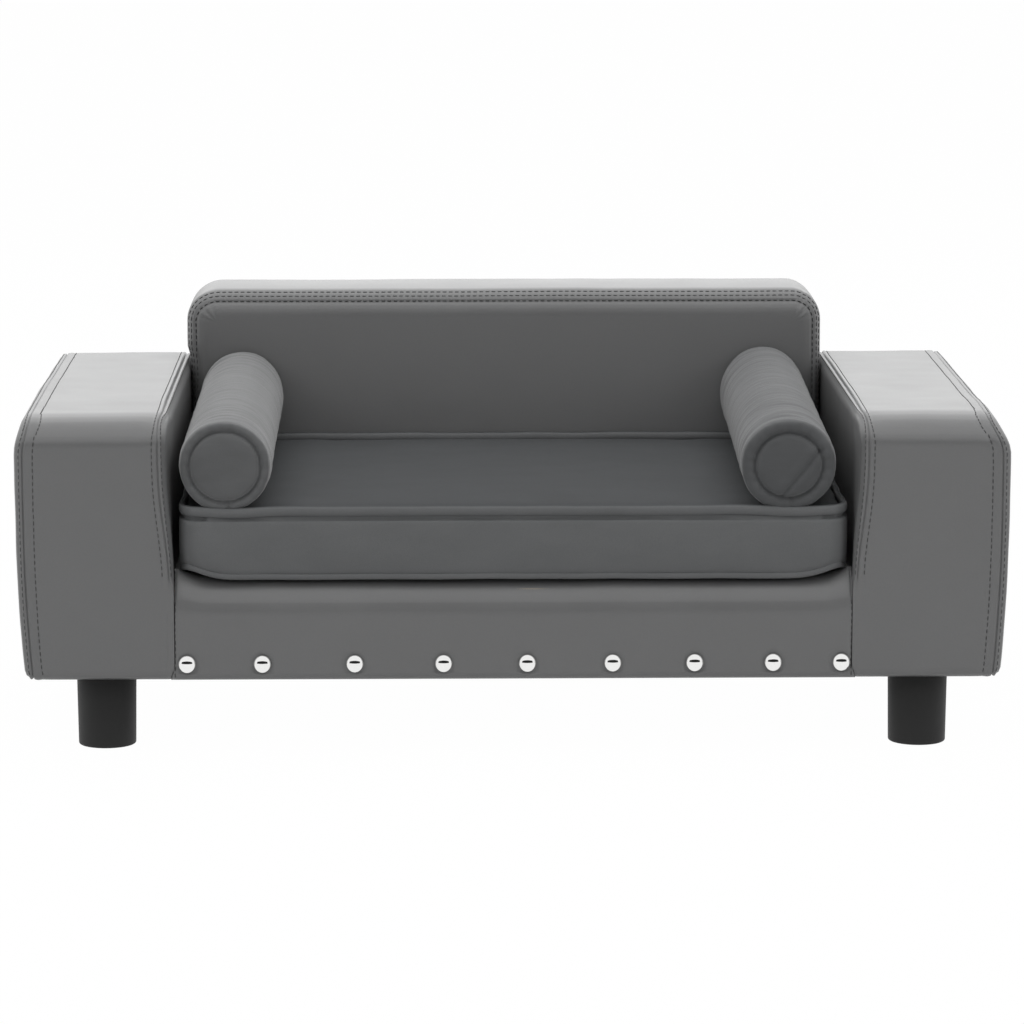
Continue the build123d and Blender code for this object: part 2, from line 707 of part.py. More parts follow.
pull_y0 = slider_y1 + pull_gap
pull_bar_x0 = (bridge_x0 + bridge_x1 - pull_bar) / 2
window_half = bridge_width / 2 + pull_window_gap
pull_tab = block(
    pull_bar_x0, pull_bar_x0 + pull_length, pull_y0, pull_y0 + pull,
    zip_z - pull_width / 2, zip_z + pull_width / 2,
)
pull_tab = fillet(pull_tab.edges().filter_by(Axis.Y).sort_by(Axis.X)[-2:], pull_corner)
pull_tab -= block(
    pull_bar_x0 + pull_bar, pull_bar_x0 + pull_bar + pull_window_length, pull_y0, pull_y0 + pull,
    zip_z - window_half, zip_z + window_half,
)
save("zip_pull", pull_tab)


# Bolsters: a fibre roll in a plush tube, with a disc sewn into each end

def both_ends(points):
    """Profile points at the front end of a bolster, followed by the same points at its rear end."""
    return points + [(radius, bolster_length - along) for radius, along in reversed(points)]


def bolster_pieces(x):
    """Fill, tube and end discs of the bolster at one place across the sofa."""
    wall = bolster_radius - plush
    disc_inner = bolster_seam_depth + plush
    fill_start = disc_inner + laid_gap
    tube_outside = both_ends([
        (bolster_seam_radius, bolster_seam_depth),
        (bolster_radius - bolster_edge_face, 0),
        (bolster_radius, bolster_edge_depth),
    ])
    tube_inside = both_ends([(bolster_seam_radius, disc_inner), (wall, bolster_edge_depth)])
    fill_outside = both_ends([
        (0, fill_start), (bolster_seam_radius - laid_gap, fill_start),
        (wall - laid_gap, bolster_edge_depth + laid_gap),
    ])
    disc_outside = [
        (0, bolster_seam_depth), (bolster_seam_radius, bolster_seam_depth),
        (bolster_seam_radius, disc_inner), (0, disc_inner),
    ]
    place = on_slope(bolster_z) * Pos(x, bolster_y0, 0)
    disc = revolve(outline_face(*disc_outside), Axis.Y)
    rear_disc = mirror(disc, about=Plane((0, bolster_length / 2, 0), z_dir=(0, 1, 0)))
    return {
        "fill": [place * revolve(outline_face(*fill_outside), Axis.Y)],
        "tube": [place * revolve(outline_face(*tube_outside, *reversed(tube_inside)), Axis.Y)],
        "end_discs": [place * disc, place * rear_disc],
    }


for side, x in (("left", -bolster_x), ("right", bolster_x)):
    for piece, solids in bolster_pieces(x).items():
        save(f"bolster_{side}_{piece}", *solids)
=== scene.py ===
"""Dog sofa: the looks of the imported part, built around its CAD frame.

Lengths are in metres. X runs across the sofa, Y from front to back and Z up from the floor,
as in the frame.
"""
import json
from math import atan2, cos, exp, hypot, pi, radians, sin, tau

import bmesh
import bpy
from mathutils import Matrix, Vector, noise


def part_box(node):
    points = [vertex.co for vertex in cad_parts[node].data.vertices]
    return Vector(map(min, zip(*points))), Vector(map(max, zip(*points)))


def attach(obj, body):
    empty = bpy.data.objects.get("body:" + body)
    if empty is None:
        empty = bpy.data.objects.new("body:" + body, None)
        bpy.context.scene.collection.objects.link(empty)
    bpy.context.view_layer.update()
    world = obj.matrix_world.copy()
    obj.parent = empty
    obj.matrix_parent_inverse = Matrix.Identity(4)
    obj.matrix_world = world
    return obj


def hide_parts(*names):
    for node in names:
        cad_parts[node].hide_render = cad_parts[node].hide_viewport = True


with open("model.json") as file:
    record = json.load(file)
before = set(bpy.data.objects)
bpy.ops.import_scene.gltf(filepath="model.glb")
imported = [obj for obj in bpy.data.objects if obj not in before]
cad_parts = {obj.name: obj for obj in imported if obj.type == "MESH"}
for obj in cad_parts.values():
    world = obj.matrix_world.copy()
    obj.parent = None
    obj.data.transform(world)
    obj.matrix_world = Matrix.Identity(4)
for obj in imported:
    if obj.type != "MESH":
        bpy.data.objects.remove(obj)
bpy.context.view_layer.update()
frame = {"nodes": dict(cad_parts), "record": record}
mm = 0.001


# Studio. A pale floor and a white surround, one large soft lamp above, weaker ones behind and on both sides
# in front, and a dark screen that only reflections see. The camera stands where the photograph's did.

scene = bpy.context.scene
scene.view_settings.view_transform = "Standard"

camera_place = (-0.0699, -3.8137, 0.7923)
camera_pitch = 0.163
camera_yaw = 0.019
focal_pixels = 4500.0
photo_side = 1024
sensor_width = 36.0
view_depth = 60.0

floor_width = 24.0
floor_seen = 0.99
world_light = 0.48
lamp_target = Vector((0.0, 0.0, 0.2))
screen_place = (0, -6.5, 2.15)
screen_width = 22.0
screen_height = 3.8


class Link:
    """A socket of a finish under construction. Sums of links add Math nodes."""

    def __init__(self, finish, socket):
        self.finish = finish
        self.socket = socket

    def maths(self, operation, first, second):
        return self.finish.node("ShaderNodeMath", "Value", {"operation": operation}, {0: first, 1: second})

    def __add__(self, other):
        return self.maths("ADD", self, other)

    __radd__ = __add__

    def __sub__(self, other):
        return self.maths("SUBTRACT", self, other)

    def __rsub__(self, other):
        return self.maths("SUBTRACT", other, self)

    def __mul__(self, other):
        return self.maths("MULTIPLY", self, other)

    __rmul__ = __mul__


class Finish:
    """A node tree that is being wired: a material's, or the world's."""

    def __init__(self, tree):
        self.tree = tree
        tree.nodes.clear()

    def node(self, kind, output, settings=None, inputs=None):
        """Adds a node, with its settings first, and gives the link of one output."""
        node = self.tree.nodes.new(kind)
        for name, value in (settings or {}).items():
            setattr(node, name, value)
        for name, value in (inputs or {}).items():
            if isinstance(value, Link):
                self.tree.links.new(value.socket, node.inputs[name])
            else:
                node.inputs[name].default_value = value
        return Link(self, node.outputs[output])

    def mix(self, share, first, second):
        """A colour between two others."""
        return self.node("ShaderNodeMix", 2, {"data_type": "RGBA"}, {0: share, 6: first, 7: second})

    def place(self, stretch=(1.0, 1.0, 1.0)):
        """Where a point lies on the piece, in metres, stretched for a pattern with a direction."""
        point = self.node("ShaderNodeTexCoord", "Object")
        return self.node("ShaderNodeMapping", "Vector", None, {"Vector": point, "Scale": stretch})

    def cloud(self, place, size, detail=2.0, roughness=0.5):
        """Soft noise whose patches are about a given size across."""
        settings = {"noise_dimensions": "3D"}
        inputs = {"Vector": place, "Scale": 1 / size, "Detail": detail, "Roughness": roughness}
        return self.node("ShaderNodeTexNoise", 0, settings, inputs)

    def cells(self, place, size, feature="F1"):
        """Rounded cells of a given size, dark in the middle."""
        return self.node("ShaderNodeTexVoronoi", "Distance", {"feature": feature},
                         {"Vector": place, "Scale": 1 / size})

    def bump(self, height, depth, strength):
        """A relief of a given depth, in metres."""
        return self.node("ShaderNodeBump", "Normal", None,
                         {"Height": height, "Distance": depth, "Strength": strength})

    def patterned(self, pattern, low, high, roughness, depth, strength):
        """The sockets of a surface whose colour and relief follow one pattern."""
        return {
            "Base Color": self.mix(pattern, low, high),
            "Roughness": roughness,
            "Normal": self.bump(pattern, depth, strength),
        }

    def output(self, surface, kind="ShaderNodeOutputMaterial"):
        """Wires the finished surface to the tree's output."""
        node = self.tree.nodes.new(kind)
        self.tree.links.new(surface.socket, node.inputs["Surface"])


def material(name, build):
    """A new material whose finish is wired by a function that gives the surface shader's sockets."""
    made = bpy.data.materials.new(name)
    made.use_nodes = True
    finish = Finish(made.node_tree)
    surface = finish.node("ShaderNodeBsdfPrincipled", "BSDF", None, build(finish))
    finish.output(surface)
    return made


def grey(level, warmth=0.0):
    """An opaque grey, a little warmer or cooler."""
    return (level * (1 + warmth), level, level * (1 - warmth), 1.0)


def studio_floor():
    """The floor shows as white to the camera and to reflections, and keeps the sofa's shadow."""
    made = bpy.data.materials.new("floor_paper")
    made.use_nodes = True
    finish = Finish(made.node_tree)
    grain = finish.cloud(finish.place(), 0.4)
    paper = finish.mix(grain, grey(0.56), grey(0.60))
    matt = finish.node("ShaderNodeBsdfDiffuse", "BSDF", None, {"Color": paper})
    glow = finish.node("ShaderNodeEmission", "Emission", None, {"Color": grey(1.0), "Strength": 1.0})
    camera_ray = finish.node("ShaderNodeLightPath", "Is Camera Ray")
    glossy_ray = finish.node("ShaderNodeLightPath", "Is Glossy Ray")
    seen = (camera_ray + glossy_ray) * floor_seen
    finish.output(finish.node("ShaderNodeMixShader", "Shader", None, {0: seen, 1: matt, 2: glow}))
    return made


bpy.ops.object.select_all(action="DESELECT")
bpy.ops.mesh.primitive_plane_add(size=floor_width, location=(0, 0, 0))
floor = bpy.context.object
floor.name = "floor"
floor.data.materials.append(studio_floor())

world = bpy.data.worlds.new("studio_world")
world.use_nodes = True
scene.world = world
surround = Finish(world.node_tree)
ray_camera = surround.node("ShaderNodeLightPath", "Is Camera Ray")
ray_glossy = surround.node("ShaderNodeLightPath", "Is Glossy Ray")
ray_through = surround.node("ShaderNodeLightPath", "Is Transmission Ray")
seen_share = (ray_camera + ray_glossy + ray_through) * (1 - world_light) + world_light
surround.output(
    surround.node("ShaderNodeBackground", "Background", None, {"Color": grey(1.0), "Strength": seen_share}),
    "ShaderNodeOutputWorld",
)


def soft_lamp(name, place, size, power, mirrored=False):
    """A square area lamp that faces the sofa. Only a mirrored one shows in reflections."""
    bpy.ops.object.light_add(type="AREA", location=place)
    lamp = bpy.context.object
    lamp.name = name
    lamp.data.size = size
    lamp.data.energy = power
    lamp.visible_camera = False
    lamp.visible_glossy = mirrored
    lamp.rotation_euler = (lamp_target - Vector(place)).to_track_quat("-Z", "Y").to_euler()


soft_lamp("lamp_above", (0.0, 0.0, 2.6), 3.6, 105.0)
soft_lamp("lamp_behind", (0.0, 2.8, 1.9), 3.0, 26.0, mirrored=True)
soft_lamp("lamp_left", (-2.4, -2.6, 1.9), 1.6, 27.0)
soft_lamp("lamp_right", (2.6, -2.4, 1.7), 1.6, 22.0)

bpy.ops.mesh.primitive_plane_add(size=1, location=screen_place, rotation=(radians(90), 0, 0))
screen = bpy.context.object
screen.name = "dark_screen"
screen.scale = (screen_width, screen_height, 1)
screen.data.materials.append(material("screen_cloth", lambda finish: {
    "Base Color": finish.mix(finish.cloud(finish.place(), 0.2), grey(0.02), grey(0.03)), "Roughness": 1.0,
}))
screen.visible_camera = False
screen.visible_diffuse = False
screen.visible_shadow = False

bpy.ops.object.camera_add(location=camera_place)
camera = bpy.context.object
level_share = cos(camera_pitch)
looking = Vector((sin(camera_yaw) * level_share, cos(camera_yaw) * level_share, -sin(camera_pitch)))
camera.rotation_euler = looking.to_track_quat("-Z", "Y").to_euler()
camera.data.sensor_width = sensor_width
camera.data.lens = focal_pixels * sensor_width / photo_side
camera.data.clip_end = view_depth
scene.camera = camera


# Arms. Each arm is a board box under foam, in grey artificial leather: one strip runs up the front, over the
# top and down the rear, and is sewn to an inner and an outer side panel by seams with a row of stitches on
# each side. The outer side bulges and draws in to the foot, and the strip rolls over the front edge.

arm_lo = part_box("arm_right_inner_cover")[0]
arm_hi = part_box("arm_right_outer_cover")[1]
deck_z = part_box("base_cover")[1].z
side_name = {-1: "left", 1: "right"}
tiny = 0.05 * mm

arm_front_roll = 24 * mm
arm_roll_reach = 16 * mm
arm_rear_roll = 14 * mm
arm_edge = 9 * mm
arm_foot_edge = 8 * mm
arm_foot_draw = 6.5 * mm
arm_head_draw = {-1: 6 * mm, 1: 14 * mm}
arm_head_zone = (-32 * mm, 8 * mm)
arm_bulge_share = 0.62
arm_inner_seam = 6.7 * mm
arm_outer_seam = 7.0 * mm
inner_rows = (-4.6 * mm, 5.4 * mm)
outer_rows = (-8.6 * mm, 4.2 * mm)
arm_head_lean = 3.0 * mm
arm_rail_lean = 2.6 * mm
lean_width = 22 * mm
pinch_width = 14 * mm
pinch_share = 0.6
corner_squareness = 0.85
arm_sag = 1.2 * mm
arm_sag_end = 100 * mm
arm_reach_end = 110 * mm

pucker_inset = 9 * mm
pucker_radius = 15 * mm
pucker_width = 8 * mm
pucker_pitch = 4.5 * mm
pucker_depth = 1.1 * mm

seam_depth = 1.5 * mm
seam_half_width = 0.8 * mm
row_depth = 0.45 * mm
row_half_width = 1.1 * mm
puff_height = 0.35 * mm
puff_half_width = 1.4 * mm
ripple_fade = 12 * mm
cover_ripple = 0.8 * mm
cover_ripple_size = 85 * mm
cover_dimple = 0.22 * mm
cover_dimple_size = 26 * mm


def grey_leather(finish):
    """Smooth coated cloth with a fine pebble grain, a little shinier where it is stretched."""
    place = finish.place()
    pebbles = finish.cells(place, 1.1 * mm, "SMOOTH_F1")
    creases = finish.cloud(place, 3.0 * mm, 4.0, 0.6)
    patches = finish.cloud(place, 60 * mm, 3.0)
    colour = finish.mix(patches, grey(0.104, -0.006), grey(0.118, -0.010))
    colour = finish.mix(pebbles * 0.35, colour, grey(0.085))
    relief = pebbles * 0.7 + creases * 0.5
    return {
        "Base Color": colour,
        "Roughness": 0.32 + patches * 0.08 - pebbles * 0.04,
        "Normal": finish.bump(relief, 0.10 * mm, 0.55),
        "Specular IOR Level": 0.55,
    }


leather = material("grey_leather", grey_leather)


def select_only(piece):
    """Makes a piece the only selected one."""
    bpy.ops.object.select_all(action="DESELECT")
    piece.select_set(True)
    bpy.context.view_layer.objects.active = piece


def open_piece(name):
    """Names the new primitive, applies its place and opens it in edit mode with nothing selected."""
    piece = bpy.context.object
    piece.name = name
    piece.data.name = name
    bpy.ops.object.transform_apply(location=True, rotation=True, scale=True)
    bpy.ops.object.mode_set(mode="EDIT")
    bpy.ops.mesh.select_all(action="DESELECT")
    return piece


def start_block(name, lo, hi):
    """A cube primitive between two corners, opened in edit mode."""
    bpy.ops.object.select_all(action="DESELECT")
    bpy.ops.mesh.primitive_cube_add(size=1, location=(lo + hi) / 2, scale=hi - lo)
    return open_piece(name)


def pick_edges(test=None, **planes):
    """Selects the edges that lie in all the given planes, such as z=0.1, and whose two ends pass a test."""
    mesh = bpy.context.object.data
    bpy.ops.mesh.select_mode(type="EDGE")
    bpy.ops.mesh.select_all(action="DESELECT")
    shape = bmesh.from_edit_mesh(mesh)
    for edge in shape.edges:
        ends = [vertex.co for vertex in edge.verts]
        level = all(abs(getattr(end, axis) - place) < tiny for end in ends for axis, place in planes.items())
        edge.select_set(level and (test is None or test(*ends)))
    bmesh.update_edit_mesh(mesh)


def round_edges(radius, segments, test=None, **planes):
    """Picks edges and rounds them."""
    pick_edges(test, **planes)
    bpy.ops.mesh.bevel(offset=radius, segments=segments, profile=0.5, affect="EDGES", clamp_overlap=False)


def slice_across(axis, places):
    """Cuts the edit mesh with planes across one axis, so that it has points to shape."""
    normal = Vector((0, 0, 0))
    normal[axis] = 1.0
    for place in places:
        bpy.ops.mesh.select_all(action="SELECT")
        bpy.ops.mesh.bisect(plane_co=normal * place, plane_no=normal)


def steps(start, end, step):
    """Evenly spaced places between two ends, without the ends."""
    count = max(1, round((end - start) / step))
    return [start + (end - start) * number / count for number in range(1, count)]


def dip(distance, half_width):
    """A smooth hollow: 1 on its line, fading to 0 at about twice its half width."""
    return exp(-(distance / half_width) ** 2)


def held(share):
    """A share held between 0 and 1."""
    return min(1.0, max(0.0, share))


def ramp(value, start, end):
    """A smooth step: 0 at the start and 1 at the end."""
    share = held((value - start) / (end - start))
    return share * share * (3 - 2 * share)


def shape_points(piece, move):
    """Moves every point of a finished mesh by a function of its place and its outward normal."""
    normals = [vertex.normal.copy() for vertex in piece.data.vertices]
    for vertex, normal in zip(piece.data.vertices, normals):
        vertex.co = move(vertex.co.copy(), normal)
    piece.data.update()


def finish_piece(piece, cover, body, smooth=True):
    """Gives a piece its shading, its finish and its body."""
    select_only(piece)
    if smooth:
        bpy.ops.object.shade_smooth()
    piece.data.materials.append(cover)
    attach(piece, body)


def close_mesh():
    """Merges the active piece's doubles, turns all its faces outwards and leaves edit mode."""
    bpy.ops.object.mode_set(mode="EDIT")
    bpy.ops.mesh.select_all(action="SELECT")
    bpy.ops.mesh.remove_doubles(threshold=0.01 * mm)
    bpy.ops.mesh.normals_make_consistent(inside=False)
    bpy.ops.object.mode_set(mode="OBJECT")


def cover_wave(point, seed):
    """How far the cover stands out or in at a point: long ripples and smaller dimples."""
    shifted = point + Vector((seed, seed * 0.7, seed * 1.3))
    ripple = noise.noise(shifted / cover_ripple_size) * cover_ripple
    return ripple + noise.noise(shifted / cover_dimple_size) * cover_dimple


def seam_profile(distance, rows):
    """How far the cover sinks beside a seam: deep on it, shallow under the stitch rows, puffed between."""
    sunk = seam_depth * dip(distance, seam_half_width)
    for row in rows:
        sunk += row_depth * dip(distance - row, row_half_width)
        sunk -= puff_height * dip(distance - row / 2, puff_half_width)
    return sunk


def arm_draw(z, side):
    """How far the outer side stands in from its fullest line at a height."""
    full_z = arm_lo.z + arm_bulge_share * (arm_hi.z - arm_lo.z)
    if z < full_z:
        return arm_foot_draw * ((full_z - z) / (full_z - arm_lo.z)) ** 2
    return arm_head_draw[side] * ramp(z, arm_hi.z + arm_head_zone[0], arm_hi.z + arm_head_zone[1])


def seam_slices(seam, rows):
    """Where the mesh needs lines beside a seam and its rows."""
    offsets = [0.0, 0.5 * mm, 1.1 * mm, 2.2 * mm, 3.6 * mm]
    places = [seam + sign * offset for offset in offsets for sign in (-1, 1)]
    places += [seam + row + offset for row in rows for offset in (-1.6 * mm, 0.0, 1.6 * mm)]
    return sorted(set(places))


def lean(point):
    """Where the inner front edge goes: in at the head, and drawn to the rail from the seat down."""
    inside = point.x - arm_lo.x
    in_front = 1 - ramp(point.y, arm_lo.y + 6 * mm, arm_lo.y + 30 * mm)
    head = ramp(point.z, deck_z, arm_hi.z - 30 * mm)
    shift = arm_head_lean * head - arm_rail_lean * (1 - head)
    pinch = ramp(point.z, deck_z + 80 * mm, deck_z)
    pinched = pinch_share * inside * dip(inside, pinch_width) * pinch
    moved = point.copy()
    moved.x += (shift * dip(inside, lean_width) - pinched) * in_front
    return moved


def squared(point):
    """Undoes the rounding of the inner front edge below the seat, where the rail is sewn to it."""
    centre = Vector((arm_lo.x + arm_edge, arm_lo.y + arm_edge))
    out = Vector((centre.x - point.x, centre.y - point.y))
    share = corner_squareness * ramp(point.z, deck_z + 4 * mm, deck_z - 10 * mm)
    share *= ramp(point.z, arm_lo.z + 2 * mm, arm_lo.z + 12 * mm)
    if out.x <= 0 or out.y <= 0:
        return point
    stretch = 1 + share * (arm_edge / max(out.x, out.y) - 1)
    return Vector((centre.x - out.x * stretch, centre.y - out.y * stretch, point.z))


def make_arm(side):
    """One arm's sewn cover. Side is 1 on the right and -1 on the left."""
    name = f"arm_{side_name[side]}"
    piece = start_block(f"{name}_leather", arm_lo, arm_hi)
    round_edges(arm_front_roll, 12, y=arm_lo.y, z=arm_hi.z)
    round_edges(arm_rear_roll, 7, y=arm_hi.y, z=arm_hi.z)
    round_edges(arm_edge, 6, lambda a, b: abs(a.x - b.x) < tiny and max(a.z, b.z) > arm_lo.z + tiny)
    round_edges(arm_foot_edge, 3, z=arm_lo.z)
    inner_seam_x = arm_lo.x + arm_inner_seam
    outer_seam_x = arm_hi.x - arm_outer_seam
    slice_across(0, seam_slices(inner_seam_x, inner_rows) + seam_slices(outer_seam_x, outer_rows))
    slice_across(0, steps(inner_seam_x + 8 * mm, outer_seam_x - 12 * mm, 8 * mm))
    slice_across(1, steps(arm_lo.y, arm_hi.y, 5 * mm))
    slice_across(2, steps(arm_lo.z, arm_hi.z, 5 * mm))
    close_mesh()

    def sew(point, normal):
        """Sinks the seams and their stitch rows, ripples the cover and gives the side its bulge."""
        sewn = 1.0 if point.y > arm_lo.y + 40 * mm else ramp(point.z, deck_z - 8 * mm, deck_z + 6 * mm)
        sunk = seam_profile(point.x - inner_seam_x, inner_rows) * sewn
        sunk += seam_profile(point.x - outer_seam_x, outer_rows)
        facing = 1.0 - abs(normal.x) ** 4
        wave = cover_wave(point, 3.1 * side) * held((point.z - arm_lo.z) / ripple_fade)
        # The strip puckers where its inner seam turns over the front roll
        from_turn = hypot(point.y - arm_lo.y - pucker_inset, point.z - arm_hi.z + pucker_inset)
        pucker = dip(from_turn, pucker_radius) * dip(point.x - inner_seam_x, pucker_width)
        crimp = sin(point.z / pucker_pitch) * pucker_depth * pucker
        moved = squared(point + normal * (wave - sunk * facing + crimp))
        across = (point.x - arm_lo.x) / (arm_hi.x - arm_lo.x)
        moved.x -= across * arm_draw(point.z, side)
        moved = lean(moved)
        from_front = point.y - arm_lo.y
        moved.z -= arm_sag * (1 - ramp(from_front, arm_front_roll, arm_sag_end)) * (point.z > deck_z)
        # The roll reaches further back over the top than it comes down the front
        fading = (arm_reach_end - from_front) / (arm_reach_end - arm_front_roll)
        reach = max(0.0, min(from_front / arm_front_roll, fading))
        moved.y += arm_roll_reach * reach * ramp(point.z, arm_hi.z - arm_front_roll, arm_hi.z - 12 * mm)
        moved.x *= side
        return moved

    shape_points(piece, sew)
    if side < 0:
        piece.data.flip_normals()
    finish_piece(piece, leather, "sofa")
    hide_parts(*[f"{name}_{part}" for part in ("wrap_cover", "outer_cover", "inner_cover", "foam")])
    return piece


arms = {side: make_arm(side) for side in (-1, 1)}


# Backrest. A board frame under foam, in a cover of a front panel, a strip round the edge and a rear panel.
# The seam runs along the rolled front edge, round both upper corners and down the sides, with a stitch row
# on each side of it.

boxing_lo, boxing_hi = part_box("back_boxing_cover")
back_lo = Vector((boxing_lo.x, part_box("back_front_cover")[0].y, arm_lo.z))
back_hi = Vector((boxing_hi.x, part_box("back_rear_cover")[1].y, boxing_hi.z))
back_corner = 26 * mm
back_front_roll = 22 * mm
back_rear_roll = 8 * mm
back_seam_angle = radians(40)
back_rear_seam_angle = radians(33)
back_rows_front = (5.2 * mm, 10.9 * mm)
back_rows_rear = (5.0 * mm,)
back_swell = 3.5 * mm
back_dome = 4.0 * mm
back_crest = 0.68
back_left_swell = 3.2 * mm
gather_inset = 12 * mm
gather_width = 6 * mm
gather_depth = 0.35 * mm
gather_waves = 14
strip_joint_angle = 1.15
strip_joint_width = 0.035
strip_joint_depth = 0.9 * mm


def from_back_outline(point):
    """How far inside the backrest's front outline a point lies."""
    across = back_hi.x - abs(point.x)
    below = back_hi.z - point.z
    if across < back_corner and below < back_corner:
        return back_corner - hypot(back_corner - across, back_corner - below)
    return min(across, below)


def along_roll(point, near_y, roll):
    """The length over a rolled edge from the flat panel to a point, as if it were laid flat."""
    inside = from_back_outline(point)
    depth = abs(point.y - near_y)
    if inside < roll and depth < roll:
        return roll * atan2(roll - inside, roll - depth)
    return roll * pi / 2 + depth - roll if inside < roll else roll - inside


def domed(point):
    """Raises the top of the padded backrest to its crest and fills it out."""
    along = (point.y - back_lo.y) / (back_hi.y - back_lo.y)
    lift = back_swell - back_dome * ((along - back_crest) / back_crest) ** 2
    share = ramp(point.z, back_hi.z - 110 * mm, back_hi.z)
    share *= ramp(abs(point.x), back_hi.x + 8 * mm, back_hi.x - 30 * mm)
    over_arm = ramp(point.z, arm_hi.z, arm_hi.z + 15 * mm) * ramp(-point.x, back_hi.x - 40 * mm, back_hi.x)
    return point + Vector((-back_left_swell * over_arm, 0, lift * share))


def make_back():
    """The backrest's sewn cover."""
    piece = start_block("backrest_leather", back_lo, back_hi)
    round_edges(back_corner, 14, lambda a, b: abs(a.y - b.y) > tiny, z=back_hi.z)
    round_edges(back_front_roll, 16, lambda a, b: max(a.z, b.z) > back_lo.z + tiny, y=back_lo.y)
    round_edges(back_rear_roll, 8, lambda a, b: max(a.z, b.z) > back_lo.z + tiny, y=back_hi.y)
    slice_across(0, steps(back_lo.x, back_hi.x, 6 * mm))
    slice_across(1, steps(back_lo.y + back_front_roll, back_hi.y, 3 * mm))
    slice_across(2, steps(back_lo.z, back_hi.z, 7 * mm))
    close_mesh()
    seam_front = back_front_roll * back_seam_angle
    seam_rear = back_rear_roll * back_rear_seam_angle

    def sew(point, normal):
        """Sinks the front and rear seams, gathers the corners and ripples the cover."""
        if point.y < (back_lo.y + back_hi.y) / 2:
            laid = along_roll(point, back_lo.y, back_front_roll)
            sunk = seam_profile(laid - seam_front, back_rows_front)
        else:
            sunk = seam_profile(along_roll(point, back_hi.y, back_rear_roll) - seam_rear, back_rows_rear)
        # Short gathers fan out inside each upper corner, and the strip is joined across the right one
        up = point.z - back_hi.z + back_corner
        beside = abs(point.x) - back_hi.x + back_corner
        out = hypot(beside, up)
        turn = atan2(up, point.x - back_hi.x + back_corner)
        spread = atan2(up, beside)
        fan = dip(out - gather_inset, gather_width) * max(0.0, sin(2 * spread)) * (0 < spread < pi / 2)
        on_front = point.y < back_lo.y + back_front_roll
        gather = sin(spread * gather_waves) * gather_depth * fan if on_front else 0.0
        if point.y < back_lo.y + 40 * mm and out > back_corner - 12 * mm:
            sunk += strip_joint_depth * dip(turn - strip_joint_angle, strip_joint_width)
        lift = cover_wave(point, 8.4) * held((point.z - back_lo.z) / ripple_fade) * 0.8
        return domed(point + normal * (lift + gather - sunk))

    shape_points(piece, sew)
    finish_piece(piece, leather, "sofa")
    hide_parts("back_front_cover", "back_rear_cover", "back_boxing_cover", "back_foam")
    return piece


back = make_back()


# Seat base. Foam and leather over the rails between the arms. Its front face is flush with the arms, its top
# edge is rounded and pulled up a little at each end, and its ends are sewn down beside the arms.

base_lo, base_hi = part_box("base_cover")
base_roll = 28 * mm
base_foot_edge = 6 * mm
base_end_lift = 9.0 * mm
base_end_width = 17 * mm
base_end_lines = (0.6 * mm, 1.5 * mm, 3 * mm, 5 * mm)
base_tuck = 1.4 * mm
base_spread = 3.0 * mm
nail_dent = 1.0 * mm

nail_radius = 7.5 * mm
nail_box_lo, nail_box_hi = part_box("dome_nails")
nail_z = (nail_box_lo.z + nail_box_hi.z) / 2
nail_groups = []
for x in sorted(vertex.co.x for vertex in frame["nodes"]["dome_nails"].data.vertices):
    if not nail_groups or x - nail_groups[-1][-1] > nail_radius:
        nail_groups.append([])
    nail_groups[-1].append(x)
nail_xs = [(min(group) + max(group)) / 2 for group in nail_groups]


def make_base():
    """The seat base's cover."""
    piece = start_block("base_leather", base_lo, base_hi)
    round_edges(base_roll, 12, y=base_lo.y, z=base_hi.z)
    round_edges(base_foot_edge, 4, y=base_lo.y, z=base_lo.z)
    slice_across(0, steps(base_lo.x, base_hi.x, 7 * mm))
    slice_across(0, [sign * (base_hi.x - offset) for sign in (-1, 1) for offset in base_end_lines])
    dimple_lines = [offset * mm for offset in (-11, -9, -7.5, -6, -3, 0, 3, 6, 7.5, 9, 11)]
    slice_across(0, [x + offset for x in nail_xs for offset in dimple_lines])
    slice_across(2, [nail_z + offset for offset in dimple_lines])
    slice_across(1, steps(base_lo.y, base_hi.y, 12 * mm))
    slice_across(2, steps(base_lo.z, base_hi.z, 6 * mm))
    close_mesh()

    def sew(point, normal):
        """Tucks the ends in beside the arms, lifts the top edge there, and dimples and ripples the front."""
        from_end = base_hi.x - abs(point.x)
        tuck = base_tuck * dip(from_end, 1.8 * mm) if normal.y < -0.2 else 0.0
        if normal.y < -0.5:
            from_nail = min(hypot(point.x - x, point.z - nail_z) for x in nail_xs)
            tuck += nail_dent * dip(from_nail - nail_radius, 2.0 * mm)
        height_share = held((point.z - base_lo.z) / (base_hi.z - base_lo.z))
        front_share = held((base_lo.y + 60 * mm - point.y) / (40 * mm))
        end_lift = base_end_lift * dip(from_end, base_end_width) * height_share ** 4 * front_share
        wave = cover_wave(point, 5.7) * min(1.0, height_share * 6) * front_share
        moved = point + normal * (wave - tuck)
        moved.z += end_lift
        # The ends follow the arms, and spread at the foot to fill the corners there
        foot_out = 1 - ramp(point.z, base_lo.z, base_lo.z + 13 * mm)
        follow = (base_spread * foot_out - 0.75 * arm_rail_lean) * dip(from_end, 20 * mm) * front_share
        moved.x += follow * (1 if point.x > 0 else -1)
        return moved

    shape_points(piece, sew)
    finish_piece(piece, leather, "sofa")
    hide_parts("base_cover", "base_foam")
    return piece


base = make_base()


# Stitches. Sewing thread in single stitches pressed into the leather, coloured near black: partly the
# thread's own dark grey and partly painted shade of the stitch holes. One stitch is modelled and repeated
# along each row, on the surface of the cover that it is sewn into.

stitch_length = 3.6 * mm
stitch_pitch = 5.4 * mm
stitch_radius = 0.42 * mm
stitch_proud = 0.12 * mm


